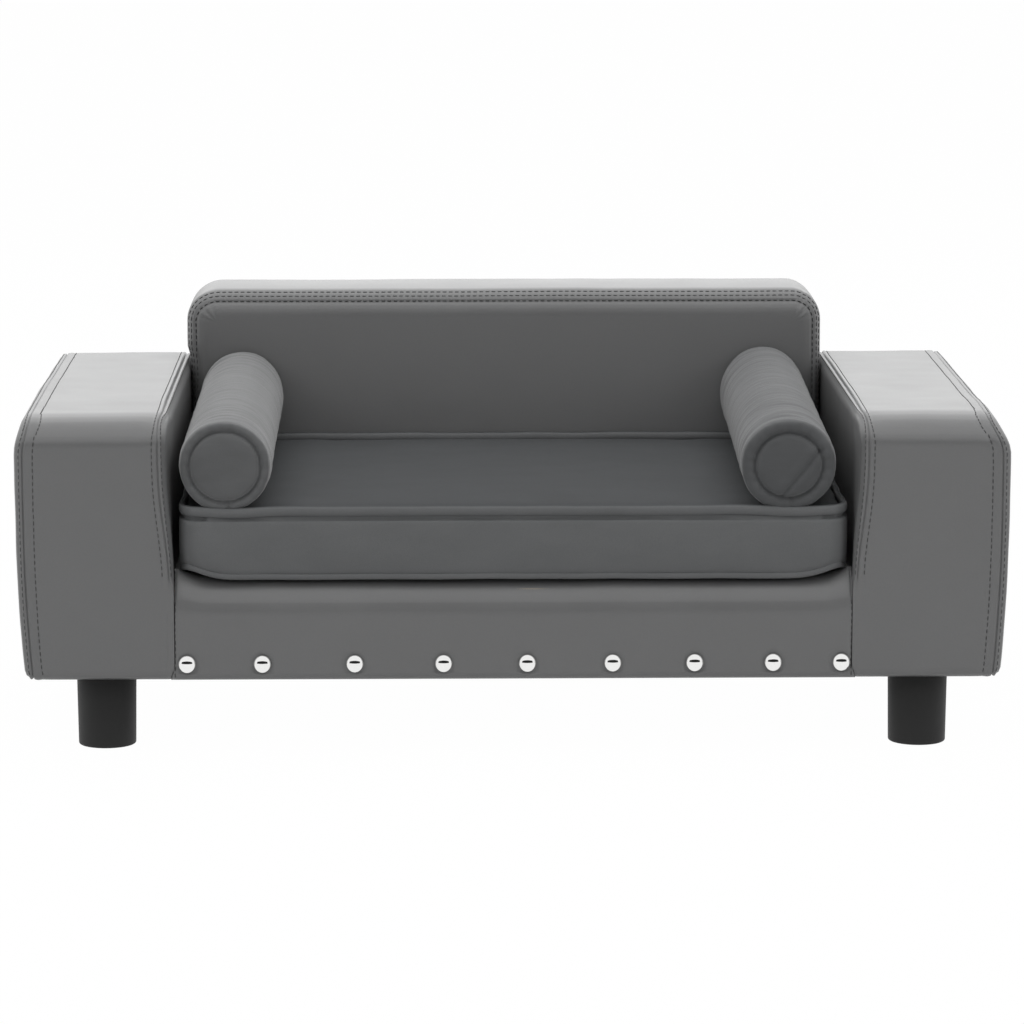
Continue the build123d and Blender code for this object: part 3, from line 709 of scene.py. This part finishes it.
def sewing_thread(finish):
    """Twisted polyester thread, near black: its own dark grey with painted shade of the stitch holes."""
    twist = finish.cloud(finish.place(), 0.4 * mm)
    # These near-black greys hold painted shade of the stitch holes as well as the thread's own colour.
    return finish.patterned(twist, grey(0.030), grey(0.050), 0.7, 0.1 * mm, 0.6)


thread = material("grey_thread", sewing_thread)


def one_stitch():
    """The shape of one stitch along X: a rod with drawn-in ends."""
    bpy.ops.object.select_all(action="DESELECT")
    bpy.ops.mesh.primitive_cylinder_add(vertices=6, radius=stitch_radius, depth=stitch_length * 0.6,
                                        rotation=(0, radians(90), 0))
    rod = bpy.context.object
    bpy.ops.object.transform_apply(location=True, rotation=True, scale=True)
    for sign in (-1, 1):
        bpy.ops.object.mode_set(mode="EDIT")
        bpy.ops.mesh.select_mode(type="FACE")
        bpy.ops.mesh.select_all(action="DESELECT")
        shape = bmesh.from_edit_mesh(rod.data)
        for face in shape.faces:
            face.select_set(face.normal.x * sign > 0.9)
        bmesh.update_edit_mesh(rod.data)
        bpy.ops.mesh.extrude_region_move(TRANSFORM_OT_translate={"value": (sign * stitch_length * 0.2, 0, 0)})
        bpy.ops.transform.resize(value=(1, 0.4, 0.4))
        bpy.ops.object.mode_set(mode="OBJECT")
    points = [vertex.co.copy() for vertex in rod.data.vertices]
    faces = [list(face.vertices) for face in rod.data.polygons]
    bpy.data.objects.remove(rod)
    return points, faces


stitch_points, stitch_faces = one_stitch()


def spaced(line, pitch):
    """Points and directions at even steps along a line of points."""
    placed = []
    carried = pitch / 2
    for start, end in zip(line, line[1:]):
        run = (end - start).length
        while carried <= run:
            placed.append((start.lerp(end, carried / run), (end - start).normalized()))
            carried += pitch
        carried -= run
    return placed


def mesh_piece(name, points, faces):
    """A new piece from its points and faces."""
    mesh = bpy.data.meshes.new(name)
    mesh.from_pydata(points, [], faces)
    mesh.update()
    piece = bpy.data.objects.new(name, mesh)
    scene.collection.objects.link(piece)
    return piece


def sew_rows(name, cover, lines):
    """Stitches along lines of points, each laid on the surface of the cover."""
    points, faces = [], []
    for line in lines:
        for place, direction in spaced(line, stitch_pitch):
            spot, normal = cover.closest_point_on_mesh(place)[1:3]
            side = normal.cross(direction).normalized()
            along = side.cross(normal).normalized()
            first = len(points)
            for point in stitch_points:
                points.append(spot + along * point.x + side * point.y + normal * (point.z + stitch_proud))
            faces += [[first + corner for corner in face] for face in stitch_faces]
    finish_piece(mesh_piece(name, points, faces), thread, "sofa")


def quarter(centre, radius, start, turn, count):
    """A quarter circle as pairs of places, from a start angle on, to the left where turn is 1."""
    angles = [start + turn * pi / 2 * number / count for number in range(count + 1)]
    return [(centre[0] + radius * cos(angle), centre[1] + radius * sin(angle)) for angle in angles]


def finely(line, step):
    """A line of points with more points between, about a step apart, without its last one."""
    fine = []
    for start, end in zip(line, line[1:]):
        count = max(1, round((end - start).length / step))
        fine += [start.lerp(end, number / count) for number in range(count)]
    return fine


def arm_side_line(x, front_end):
    """A line at one place across the arm: up the front from a height, over both rolls and down the rear."""
    roll_centre = (arm_lo.y + arm_front_roll, arm_hi.z - arm_front_roll)
    places = [(arm_lo.y, front_end)] + quarter(roll_centre, arm_front_roll, pi, -1, 12)
    places += [(arm_hi.y - arm_rear_roll, arm_hi.z), (arm_hi.y, arm_hi.z - arm_rear_roll)]
    places.append((arm_hi.y, arm_lo.z + 3 * mm))
    line = [Vector((x, y, z)) for y, z in places]
    return finely(line, 6 * mm) + [line[-1]]


def drawn_with_arm(point, side):
    """Where a point of the plain arm ends up on the shaped one, so that a row keeps beside its seam."""
    across = (point.x - arm_lo.x) / (arm_hi.x - arm_lo.x)
    moved = squared(point)
    moved.x -= across * arm_draw(point.z, side)
    moved = lean(moved)
    return Vector((moved.x * side, moved.y, moved.z))


for side, arm in arms.items():
    rows = [(arm_lo.x + arm_inner_seam + row, deck_z + 4 * mm) for row in inner_rows]
    rows += [(arm_hi.x - arm_outer_seam + row, arm_lo.z + 4 * mm) for row in outer_rows]
    lines = [[drawn_with_arm(point, side) for point in arm_side_line(x, end)] for x, end in rows]
    sew_rows(f"arm_{side_name[side]}_stitches", arm, lines)


def back_outline(inside, y):
    """A line round the backrest's outline, a given length inside it: up one side, across and down."""
    half = back_hi.x - inside
    top = back_hi.z - inside
    radius = back_corner - inside
    foot = back_lo.z + 5 * mm
    places = [(-half, foot)] + quarter((-half + radius, top - radius), radius, pi, -1, 12)
    places += quarter((half - radius, top - radius), radius, pi / 2, -1, 12) + [(half, foot)]
    return [Vector((x, y, z)) for x, z in places]


def back_row(arc, near_y, roll, inwards):
    """The outline that lies a given length over the rolled edge, counted from the flat panel."""
    angle = arc / roll
    if angle > pi / 2:
        line = back_outline(0.0, near_y + inwards * (roll + arc - roll * pi / 2))
    else:
        line = back_outline(roll * (1 - sin(angle)), near_y + inwards * roll * (1 - cos(angle)))
    return [domed(point) for point in line]


back_seams = (
    (back_front_roll, back_seam_angle, (0.0,) + back_rows_front, back_lo.y, 1),
    (back_rear_roll, back_rear_seam_angle, back_rows_rear, back_hi.y, -1),
)
sew_rows("backrest_stitches", back, [
    back_row(roll * angle + row, near_y, roll, inwards)
    for roll, angle, rows, near_y, inwards in back_seams for row in rows
])

base_row_x = base_hi.x - arm_rail_lean
base_row_ends = (base_lo.z + 2 * mm, base_hi.z - 12 * mm)
sew_rows("base_stitches", base, [
    [Vector((x, base_lo.y, z)) for z in base_row_ends] for x in (-base_row_x, base_row_x)
])


# Seat cushion. A foam slab in a boxed cover of dark grey plush: a crowned top panel, a band round the sides
# with the zip in its rear, and a bottom panel. A flat welt stands up round the top edge and a thinner one
# runs round the bottom edge.

cushion_lo, cushion_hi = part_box("cushion_band")
cushion_lo = Vector((cushion_lo.x, cushion_lo.y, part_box("cushion_bottom_panel")[0].z))
seat_rise = 14 * mm
panel_z = cushion_hi.z - seat_rise + 2.5 * mm
cushion_spread = 2.4 * mm
cushion_bulge = 2.2 * mm
cushion_corner = 18 * mm
cushion_top_edge = 3 * mm
cushion_crown = 5 * mm
cushion_draw = 2 * mm
cushion_foot_edge = 4 * mm
corner_lift = 11 * mm
corner_lift_width = 24 * mm
cloth_voxel = 5 * mm
cushion_swell = 2.5 * mm
flange_height = 8.6 * mm
flange_width = 4.6 * mm
flange_z = panel_z + 2.0 * mm
welt_groove = 2.8 * mm
zip_lo, zip_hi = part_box("cushion_zip")
zip_bead = 2.0 * mm
zip_mouth = 6.0 * mm
bolster_radius = 38 * mm
tube_lo, tube_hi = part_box("bolster_right_tube")
bolster_x = (tube_lo.x + tube_hi.x) / 2
bolster_slope = seat_rise / (cushion_hi.y - cushion_lo.y)


def seat_lift(y):
    """How much higher the seat stands towards the rear."""
    return seat_rise * (y - cushion_lo.y) / (cushion_hi.y - cushion_lo.y)


def bolster_axis(y):
    """The height of a bolster's middle line at a place towards the rear."""
    return (tube_lo.z + tube_hi.z) / 2 + bolster_slope * (y - (tube_lo.y + tube_hi.y) / 2)


def near_corner(point):
    """How close a point lies to one of the cushion's four upright corners, from 0 to 1."""
    corner_x = cushion_hi.x - abs(point.x)
    corner_y = min(point.y - cushion_lo.y, cushion_hi.y - point.y)
    return dip(hypot(max(0.0, corner_x), max(0.0, corner_y)), corner_lift_width)


def plush_finish(finish, low, high, sheen):
    """Short-pile plush: a fine nap, with soft strokes where the pile lies differently."""
    place = finish.place()
    nap = finish.cloud(place, 0.8 * mm, 3.0, 0.7)
    strokes = finish.cloud(finish.place((0.45, 1.0, 1.0)), 26 * mm, 3.0, 0.6)
    pile = finish.cloud(place, 4.0 * mm, 3.0, 0.6)
    colour = finish.mix(strokes, low, high)
    colour = finish.mix(nap * 0.4, colour, grey(0.045, -0.03))
    return {
        "Base Color": colour,
        "Roughness": 0.92 - nap * 0.08,
        "Normal": finish.bump(nap * 0.7 + pile * 0.5, 0.35 * mm, 0.6),
        "Sheen Weight": sheen,
        "Sheen Roughness": 0.5,
        "Specular IOR Level": 0.2,
    }


def seat_plush_painted_top_shade(finish):
    """The cushion's plush, with painted shade on its top: the colour darkens where the surface faces up."""
    facing = finish.node("ShaderNodeTexCoord", "Normal")
    upward = finish.node("ShaderNodeSeparateXYZ", "Z", None, {"Vector": facing})
    limits = {"Value": upward, "From Min": 0.55, "From Max": 0.95}
    # Painted shade: this mask is 1 where the surface faces up, and there the plush gets a far darker grey
    # than on its sides.
    top = finish.node("ShaderNodeMapRange", "Result", None, limits)
    low = finish.mix(top, grey(0.100, -0.02), grey(0.026, -0.06))
    high = finish.mix(top, grey(0.128, -0.02), grey(0.036, -0.06))
    return plush_finish(finish, low, high, 0.04)


def even_plush(low, high, warmth, sheen):
    """A plush of one shade all round, between two greys."""
    return lambda finish: plush_finish(finish, grey(low, warmth), grey(high, warmth), sheen)


plush = material("bolster_plush", even_plush(0.062, 0.118, -0.02, 0.3))
# A darker copy of the bolster plush for the right bolster: painted shade.
painted_shade_plush = material("right_bolster_plush_painted_shade", even_plush(0.046, 0.088, -0.03, 0.22))
cushion_plush_painted_top_shade = material("seat_plush_painted_top_shade", seat_plush_painted_top_shade)


def swell(piece, voxel, cap, pressure=4.0):
    """Swells a stuffed piece with a cloth simulation under pressure, each point held to a short way."""
    select_only(piece)
    remesh = piece.modifiers.new("remesh", "REMESH")
    remesh.mode = "VOXEL"
    remesh.voxel_size = voxel
    bpy.ops.object.modifier_apply(modifier=remesh.name)
    rest = [vertex.co.copy() for vertex in piece.data.vertices]
    cloth = piece.modifiers.new("cloth", "CLOTH")
    cloth.settings.use_pressure = True
    cloth.settings.uniform_pressure_force = pressure
    cloth.settings.effector_weights.gravity = 0
    for number in range(1, 21):
        scene.frame_set(number)
    bpy.ops.object.modifier_apply(modifier=cloth.name)
    scene.frame_set(1)
    for vertex, start in zip(piece.data.vertices, rest):
        moved = vertex.co - start
        if moved.length > cap:
            vertex.co = start + moved * (cap / moved.length)
    even_out = piece.modifiers.new("even_out", "SMOOTH")
    even_out.iterations = 3
    bpy.ops.object.modifier_apply(modifier=even_out.name)
    finer = piece.modifiers.new("finer", "SUBSURF")
    finer.levels = 1
    finer.render_levels = 1
    bpy.ops.object.modifier_apply(modifier=finer.name)


def make_cushion():
    """The cushion's stuffed cover."""
    lo = cushion_lo
    hi = Vector((cushion_hi.x, cushion_hi.y, panel_z))
    piece = start_block("seat_cushion_plush", lo, hi)
    round_edges(cushion_corner, 8, lambda a, b: abs(a.z - b.z) > tiny)
    round_edges(cushion_foot_edge, 4, z=lo.z)
    round_edges(cushion_top_edge, 3, z=hi.z)
    slice_across(0, steps(lo.x, hi.x, 12 * mm))
    slice_across(1, steps(lo.y, hi.y, 12 * mm))
    slice_across(2, steps(lo.z, hi.z, 8 * mm))
    close_mesh()
    middle_y = (lo.y + hi.y) / 2
    half_x = hi.x
    half_y = (hi.y - lo.y) / 2

    def crown(point, normal):
        """Crowns the top, raises it to the rear, pulls the sides in and lifts the lower corners."""
        across = point.x / half_x
        along = (point.y - middle_y) / half_y
        height = (point.z - lo.z) / (hi.z - lo.z)
        moved = point.copy()
        moved.x *= 1 + cushion_spread / half_x
        moved.y += cushion_bulge * along * (1 - (2 * height - 1) ** 2)
        moved.z += cushion_crown * (1 - across ** 2) * (1 - 0.8 * along ** 2) * max(0.0, height - 0.5) * 2
        moved.z += seat_lift(point.y) * height
        moved.x -= cushion_draw * across * (1 - along ** 2) * 0.5
        moved.z += (1 - height) ** 3 * corner_lift * near_corner(point)
        return moved

    shape_points(piece, crown)
    swell(piece, cloth_voxel, cushion_swell)

    def press(point, normal):
        """Keeps the underside on the deck, dents the top under the bolsters and opens the zip's mouth."""
        moved = point + normal * cover_wave(point, 12.3) * 0.8
        if abs(normal.z) < 0.6:
            below = flange_z + seat_lift(point.y) - flange_height / 2 - 1.0 * mm - point.z
            moved -= normal * welt_groove * dip(below, 1.7 * mm)
        if abs(point.x) < bolster_x + bolster_radius:
            gap = hypot(abs(moved.x) - bolster_x, moved.z - bolster_axis(moved.y)) - bolster_radius - 0.2 * mm
            if gap < 0 and moved.z > lo.z + 40 * mm:
                moved.z += gap
        in_mouth = abs(moved.z - (zip_lo.z + zip_hi.z) / 2) < zip_mouth and abs(moved.x) < zip_hi.x - 6 * mm
        if in_mouth and moved.y > middle_y:
            moved.y = min(moved.y, zip_hi.y - zip_bead - 1.2 * mm)
        moved.z = max(moved.z, lo.z)
        return moved

    shape_points(piece, press)
    finish_piece(piece, cushion_plush_painted_top_shade, "seat_cushion")
    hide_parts("cushion_top_panel", "cushion_bottom_panel", "cushion_band", "cushion_foam")
    return piece


cushion = make_cushion()


def welt_line():
    """The cushion's outline seen from above, with round corners, as points."""
    x1 = cushion_hi.x - cushion_corner
    y0 = cushion_lo.y + cushion_corner
    y1 = cushion_hi.y - cushion_corner
    corners = []
    for centre, start in (((x1, y0), -pi / 2), ((x1, y1), 0.0), ((-x1, y1), pi / 2), ((-x1, y0), pi)):
        corners += [Vector((x, y, 0)) for x, y in quarter(centre, cushion_corner, start, 1, 8)]
    return finely(corners + corners[:1], 5 * mm)


def make_welt(name, height, width, level):
    """A closed welt of oval section round the cushion, on the surface of its cover."""
    sides = 12
    points, faces = [], []
    line = welt_line()
    for spot in line:
        z = level(spot)
        on_cover, normal = cushion.closest_point_on_mesh(Vector((spot.x, spot.y, z)))[1:3]
        out = Vector((normal.x, normal.y, 0)).normalized()
        wave = noise.noise(on_cover / (40 * mm)) * 0.5 * mm
        middle = Vector((on_cover.x, on_cover.y, z + wave)) + out * width * 0.15
        for number in range(sides):
            angle = tau * number / sides
            points.append(middle + out * width / 2 * cos(angle) + Vector((0, 0, height / 2 * sin(angle))))
    rings = len(line)
    for ring in range(rings):
        for number in range(sides):
            after = (number + 1) % sides
            here, there = ring * sides, (ring + 1) % rings * sides
            faces.append((here + number, there + number, there + after, here + after))
    piece = mesh_piece(name, points, faces)
    select_only(piece)
    close_mesh()
    finish_piece(piece, cushion_plush_painted_top_shade, "seat_cushion")
    return piece


def upper_level(spot):
    """The upper welt's height: it rises with the seat and is pressed down a little under each bolster."""
    pressed = 1.4 * mm * dip(abs(spot.x) - bolster_x, 24 * mm)
    return flange_z + seat_lift(spot.y) - pressed


def lower_level(spot):
    """The lower welt's height, lifted at the corners."""
    return cushion_lo.z + 2.8 * mm + corner_lift * 0.8 * near_corner(spot)


upper_welt = make_welt("cushion_upper_welt", flange_height, flange_width, upper_level)
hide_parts("cushion_welts")
make_welt("cushion_lower_welt", 5 * mm, 1.6 * mm, lower_level)


# Bolsters. Two loose rolls of polyester fibre in plush tubes, that lie beside the arms. The tube wraps over
# each end and is sewn to a round disc there, which leaves a ring seam with small gathers.

bolster_y0 = tube_lo.y + 1.5 * mm
bolster_y1 = tube_hi.y - 1.5 * mm
bolster_middle_y = (bolster_y0 + bolster_y1) / 2
bolster_half = (bolster_y1 - bolster_y0) / 2
ring_radius = {-1: 29.5 * mm, 1: 27 * mm}
bolster_shift = {-1: (-3.5 * mm, -1 * mm), 1: (-7 * mm, -6 * mm)}
bolster_spread = {-1: 1.0, 1: 1.035}
bolster_taper = 0.05
bolster_rear_swell = {-1: 2.5 * mm, 1: 6.5 * mm}
bolster_end_edge = 4 * mm
ring_depth = 3.4 * mm
ring_gathers = 22
ring_gather_depth = 0.4 * mm
foot_crease_turn = 1.5
foot_crease_depth = 1.5 * mm
disc_fullness = 0.8 * mm
disc_crease_depth = 1.4 * mm
disc_crease_fold = 1.0 * mm
bolster_wrinkle = 1.0 * mm


def line_gap(across, up, start, end):
    """How far a point of the end disc lies from a crease between two points of it."""
    run = Vector(end) - Vector(start)
    share = (Vector((across, up)) - Vector(start)).dot(run) / run.length_squared
    nearest = Vector(start) + run * held(share)
    return hypot(across - nearest.x, up - nearest.y)


def make_bolster(side):
    """One bolster: a spun profile, swelled, with its ring seams, creases and wrinkles worked in."""
    name = f"bolster_{side_name[side]}"
    bpy.ops.object.select_all(action="DESELECT")
    bpy.ops.mesh.primitive_cylinder_add(
        vertices=64, radius=bolster_radius - 0.4 * mm, depth=2 * bolster_half - 2 * mm,
        location=(0, bolster_middle_y, 0), rotation=(radians(90), 0, 0),
    )
    piece = open_piece(f"{name}_plush")
    end_y = bolster_half - 1.2 * mm
    round_edges(bolster_end_edge, 4, lambda a, b: min(abs(p.y - bolster_middle_y) for p in (a, b)) > end_y)
    slice_across(1, steps(bolster_y0 + 8 * mm, bolster_y1 - 8 * mm, 8 * mm))
    bpy.ops.object.mode_set(mode="OBJECT")
    swell(piece, 3.2 * mm, 1.5 * mm)
    front_shift, rear_shift = bolster_shift[side]

    def gather(point, normal):
        """Sinks the ring seams and creases, wrinkles the tube and lays the roll in its place."""
        radius = hypot(point.x, point.z)
        turn = atan2(point.z, point.x)
        end_share = abs(point.y - bolster_middle_y) / bolster_half
        moved = point.copy()
        if abs(normal.y) > 0.6:
            off_ring = radius - ring_radius[side]
            sunk = ring_depth * dip(off_ring, 1.5 * mm) + 0.9 * mm * dip(off_ring, 5 * mm)
            # The tube's end is gathered into the ring seam, most of all at the foot
            pucker = sin(turn * ring_gathers + side) * ring_gather_depth * dip(off_ring - 3 * mm, 3 * mm)
            foot = foot_crease_depth * dip(turn + foot_crease_turn, 0.05) * dip(off_ring - 3 * mm, 5 * mm)
            inside = disc_fullness * (1 - min(1.0, radius / ring_radius[side]) ** 2)
            if side > 0 and point.y < bolster_middle_y:
                crease = line_gap(point.x, point.z, (25 * mm, 13 * mm), (-5 * mm, -25 * mm))
                sunk += disc_crease_depth * dip(crease, 1.5 * mm)
                inside += disc_crease_fold * dip(crease - 5 * mm, 4 * mm)
            moved += normal * (pucker + inside - sunk - foot)
        else:
            place = Vector((point.x * 0.4 + side, point.y * 1.5, point.z * 0.4)) / (24 * mm)
            fine = Vector((point.x * 0.4, point.y * 2.2, point.z * 0.4 + side)) / (11 * mm)
            crease = noise.noise(place) + 0.5 * noise.noise(fine)
            moved += normal * bolster_wrinkle * crease * (0.4 + 0.6 * end_share)
        share = (point.y - bolster_y0) / (bolster_y1 - bolster_y0)
        moved.x *= bolster_spread[side] * (1 - bolster_taper * share)
        moved.x += side * bolster_x + front_shift + (rear_shift - front_shift) * share
        moved.y -= bolster_slope * moved.z
        moved.z += bolster_rear_swell[side] * share * (0.5 + moved.z / (2 * bolster_radius))
        moved.z += bolster_axis(point.y)
        return moved

    shape_points(piece, gather)
    # The right bolster takes the darker copy of the plush, which holds painted shade.
    finish_piece(piece, painted_shade_plush if side > 0 else plush, name)
    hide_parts(f"{name}_fill", f"{name}_tube", f"{name}_end_discs")


make_bolster(-1)
make_bolster(1)


# Feet. Four short round legs of moulded black plastic, slightly narrower at the floor and with an eased
# edge there. The steel stud moulded into each one screws into a nut in the board above.

foot_taper = 0.965
foot_edge = 1.6 * mm
foot_top_edge = 0.8 * mm


def black_moulding(finish):
    """Matt moulded plastic with a fine spark-eroded texture."""
    place = finish.place()
    texture = finish.cloud(place, 0.5 * mm, 3.0, 0.6)
    scuffs = finish.cloud(place, 18 * mm, 4.0, 0.6)
    return {
        "Base Color": finish.mix(scuffs, grey(0.009), grey(0.014)),
        "Roughness": 0.50 + scuffs * 0.14,
        "Normal": finish.bump(texture, 0.06 * mm, 0.5),
        "Specular IOR Level": 0.35,
    }


moulding = material("black_moulding", black_moulding)

for corner in ("front_left", "front_right", "rear_left", "rear_right"):
    foot_lo, foot_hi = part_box(f"foot_{corner}")
    bpy.ops.object.select_all(action="DESELECT")
    bpy.ops.mesh.primitive_cylinder_add(
        vertices=72, radius=(foot_hi.x - foot_lo.x) / 2, depth=foot_hi.z - foot_lo.z,
        location=(foot_lo + foot_hi) / 2,
    )
    foot = open_piece(f"foot_{corner}_moulding")
    pick_edges(z=foot_lo.z)
    bpy.ops.transform.resize(value=(foot_taper, foot_taper, 1))
    round_edges(foot_edge, 4, z=foot_lo.z)
    round_edges(foot_top_edge, 2, z=foot_hi.z)
    bpy.ops.object.mode_set(mode="OBJECT")
    finish_piece(foot, moulding, "sofa", smooth=False)
    bpy.ops.object.shade_smooth_by_angle(angle=radians(35))
    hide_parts(f"foot_{corner}")


# Dome nails. Nine chrome-plated steel heads, driven through the leather into the front rail along its foot.
# One dome is made and copied.

nail_height = 4.3 * mm
nail_lip = 0.35 * mm


def chrome(finish):
    """Polished chrome plate with faint handling marks."""
    marks = finish.cloud(finish.place(), 2.0 * mm, 4.0, 0.7)
    return {
        "Base Color": finish.mix(marks, (0.80, 0.80, 0.79, 1.0), (0.88, 0.88, 0.87, 1.0)),
        "Metallic": 1.0,
        "Roughness": 0.03 + marks * 0.03,
    }


nail_chrome = material("nail_chrome", chrome)

bpy.ops.object.select_all(action="DESELECT")
sphere_radius = (nail_radius ** 2 + nail_height ** 2) / (2 * nail_height)
bpy.ops.mesh.primitive_uv_sphere_add(segments=48, ring_count=48, radius=sphere_radius, location=(0, 0, 0))
dome = bpy.context.object
dome.name = "nail_dome"
bpy.ops.object.mode_set(mode="EDIT")
bpy.ops.mesh.select_all(action="SELECT")
bpy.ops.mesh.bisect(plane_co=(0, 0, sphere_radius - nail_height), plane_no=(0, 0, -1), clear_outer=True)
pick_edges(z=sphere_radius - nail_height)
bpy.ops.mesh.extrude_region_move(TRANSFORM_OT_translate={"value": (0, 0, -nail_lip)})
bpy.ops.mesh.fill()
close_mesh()
for number, x in enumerate(nail_xs, 1):
    nail = dome.copy()
    nail.data = dome.data.copy()
    nail.name = f"dome_nail_{number}"
    nail.data.name = nail.name
    scene.collection.objects.link(nail)
    turned = Vector((x, arm_lo.y, nail_z))
    for vertex in nail.data.vertices:
        height = vertex.co.z - sphere_radius + nail_height
        vertex.co = turned + Vector((vertex.co.x, -height - nail_lip, vertex.co.y))
    select_only(nail)
    close_mesh()
    finish_piece(nail, nail_chrome, "sofa", smooth=False)
    bpy.ops.object.shade_smooth_by_angle(angle=radians(40))
    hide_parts("dome_nails")
bpy.data.objects.remove(dome)


# Inner parts that stay as the frame has them and only get their finish: pine boards, the pressed lining
# below, zinc-plated bolts, nuts and studs, and the zip in the cushion's rear band.

def pine_board(finish):
    """Sawn softwood and board with a long grain."""
    grain = finish.cloud(finish.place((0.12, 1.0, 1.0)), 3 * mm, 5.0, 0.6)
    early_wood = (0.52, 0.36, 0.20, 1.0)
    late_wood = (0.68, 0.52, 0.33, 1.0)
    return finish.patterned(grain, early_wood, late_wood, 0.75 - grain * 0.1, 0.3 * mm, 0.5)


def open_foam(finish):
    """Cream upholstery foam with open pores."""
    pores = finish.cells(finish.place(), 1.2 * mm)
    return finish.patterned(pores, (0.62, 0.58, 0.42, 1.0), (0.80, 0.77, 0.62, 1.0), 0.95, 0.6 * mm, 0.8)


def pressed_lining(finish):
    """Black non-woven cloth with a pattern of small pressed dots."""
    dots = finish.cells(finish.place(), 1.6 * mm)
    return finish.patterned(dots, grey(0.016), grey(0.030), 0.9, 0.15 * mm, 0.7)


def zinc_plate(finish):
    """Bright zinc plating, slightly clouded."""
    clouds = finish.cloud(finish.place(), 3 * mm, 4.0, 0.6)
    return {
        "Base Color": finish.mix(clouds, (0.50, 0.51, 0.52, 1.0), (0.66, 0.67, 0.68, 1.0)),
        "Metallic": 1.0,
        "Roughness": 0.32 + clouds * 0.15,
    }


def woven_tape(finish):
    """Woven zip tape."""
    weave = finish.node("ShaderNodeTexWave", "Fac", {"wave_type": "BANDS", "bands_direction": "X"},
                        {"Vector": finish.place(), "Scale": 320.0, "Distortion": 0.5})
    return finish.patterned(weave, grey(0.020), grey(0.045), 0.85, 0.1 * mm, 0.5)


slot_finishes = {
    "leather": leather,
    "plush": plush,
    "board": material("pine_board", pine_board),
    "foam": material("open_foam", open_foam),
    "fibre": material("fibre_fill", open_foam),
    "lining": material("pressed_lining", pressed_lining),
    "black_plastic": moulding,
    "nail_chrome": nail_chrome,
    "zinc_steel": material("zinc_plate", zinc_plate),
    "zip_tape": material("zip_tape", woven_tape),
    "zip_metal": material("zip_metal", zinc_plate),
}
node_slots = {part["node"]: part["material_slot"] for part in frame["record"]["subparts"]}
for name, node in frame["nodes"].items():
    chosen = slot_finishes[node_slots[name]]
    if node.data.materials:
        for number in range(len(node.data.materials)):
            node.data.materials[number] = chosen
    else:
        node.data.materials.append(chosen)
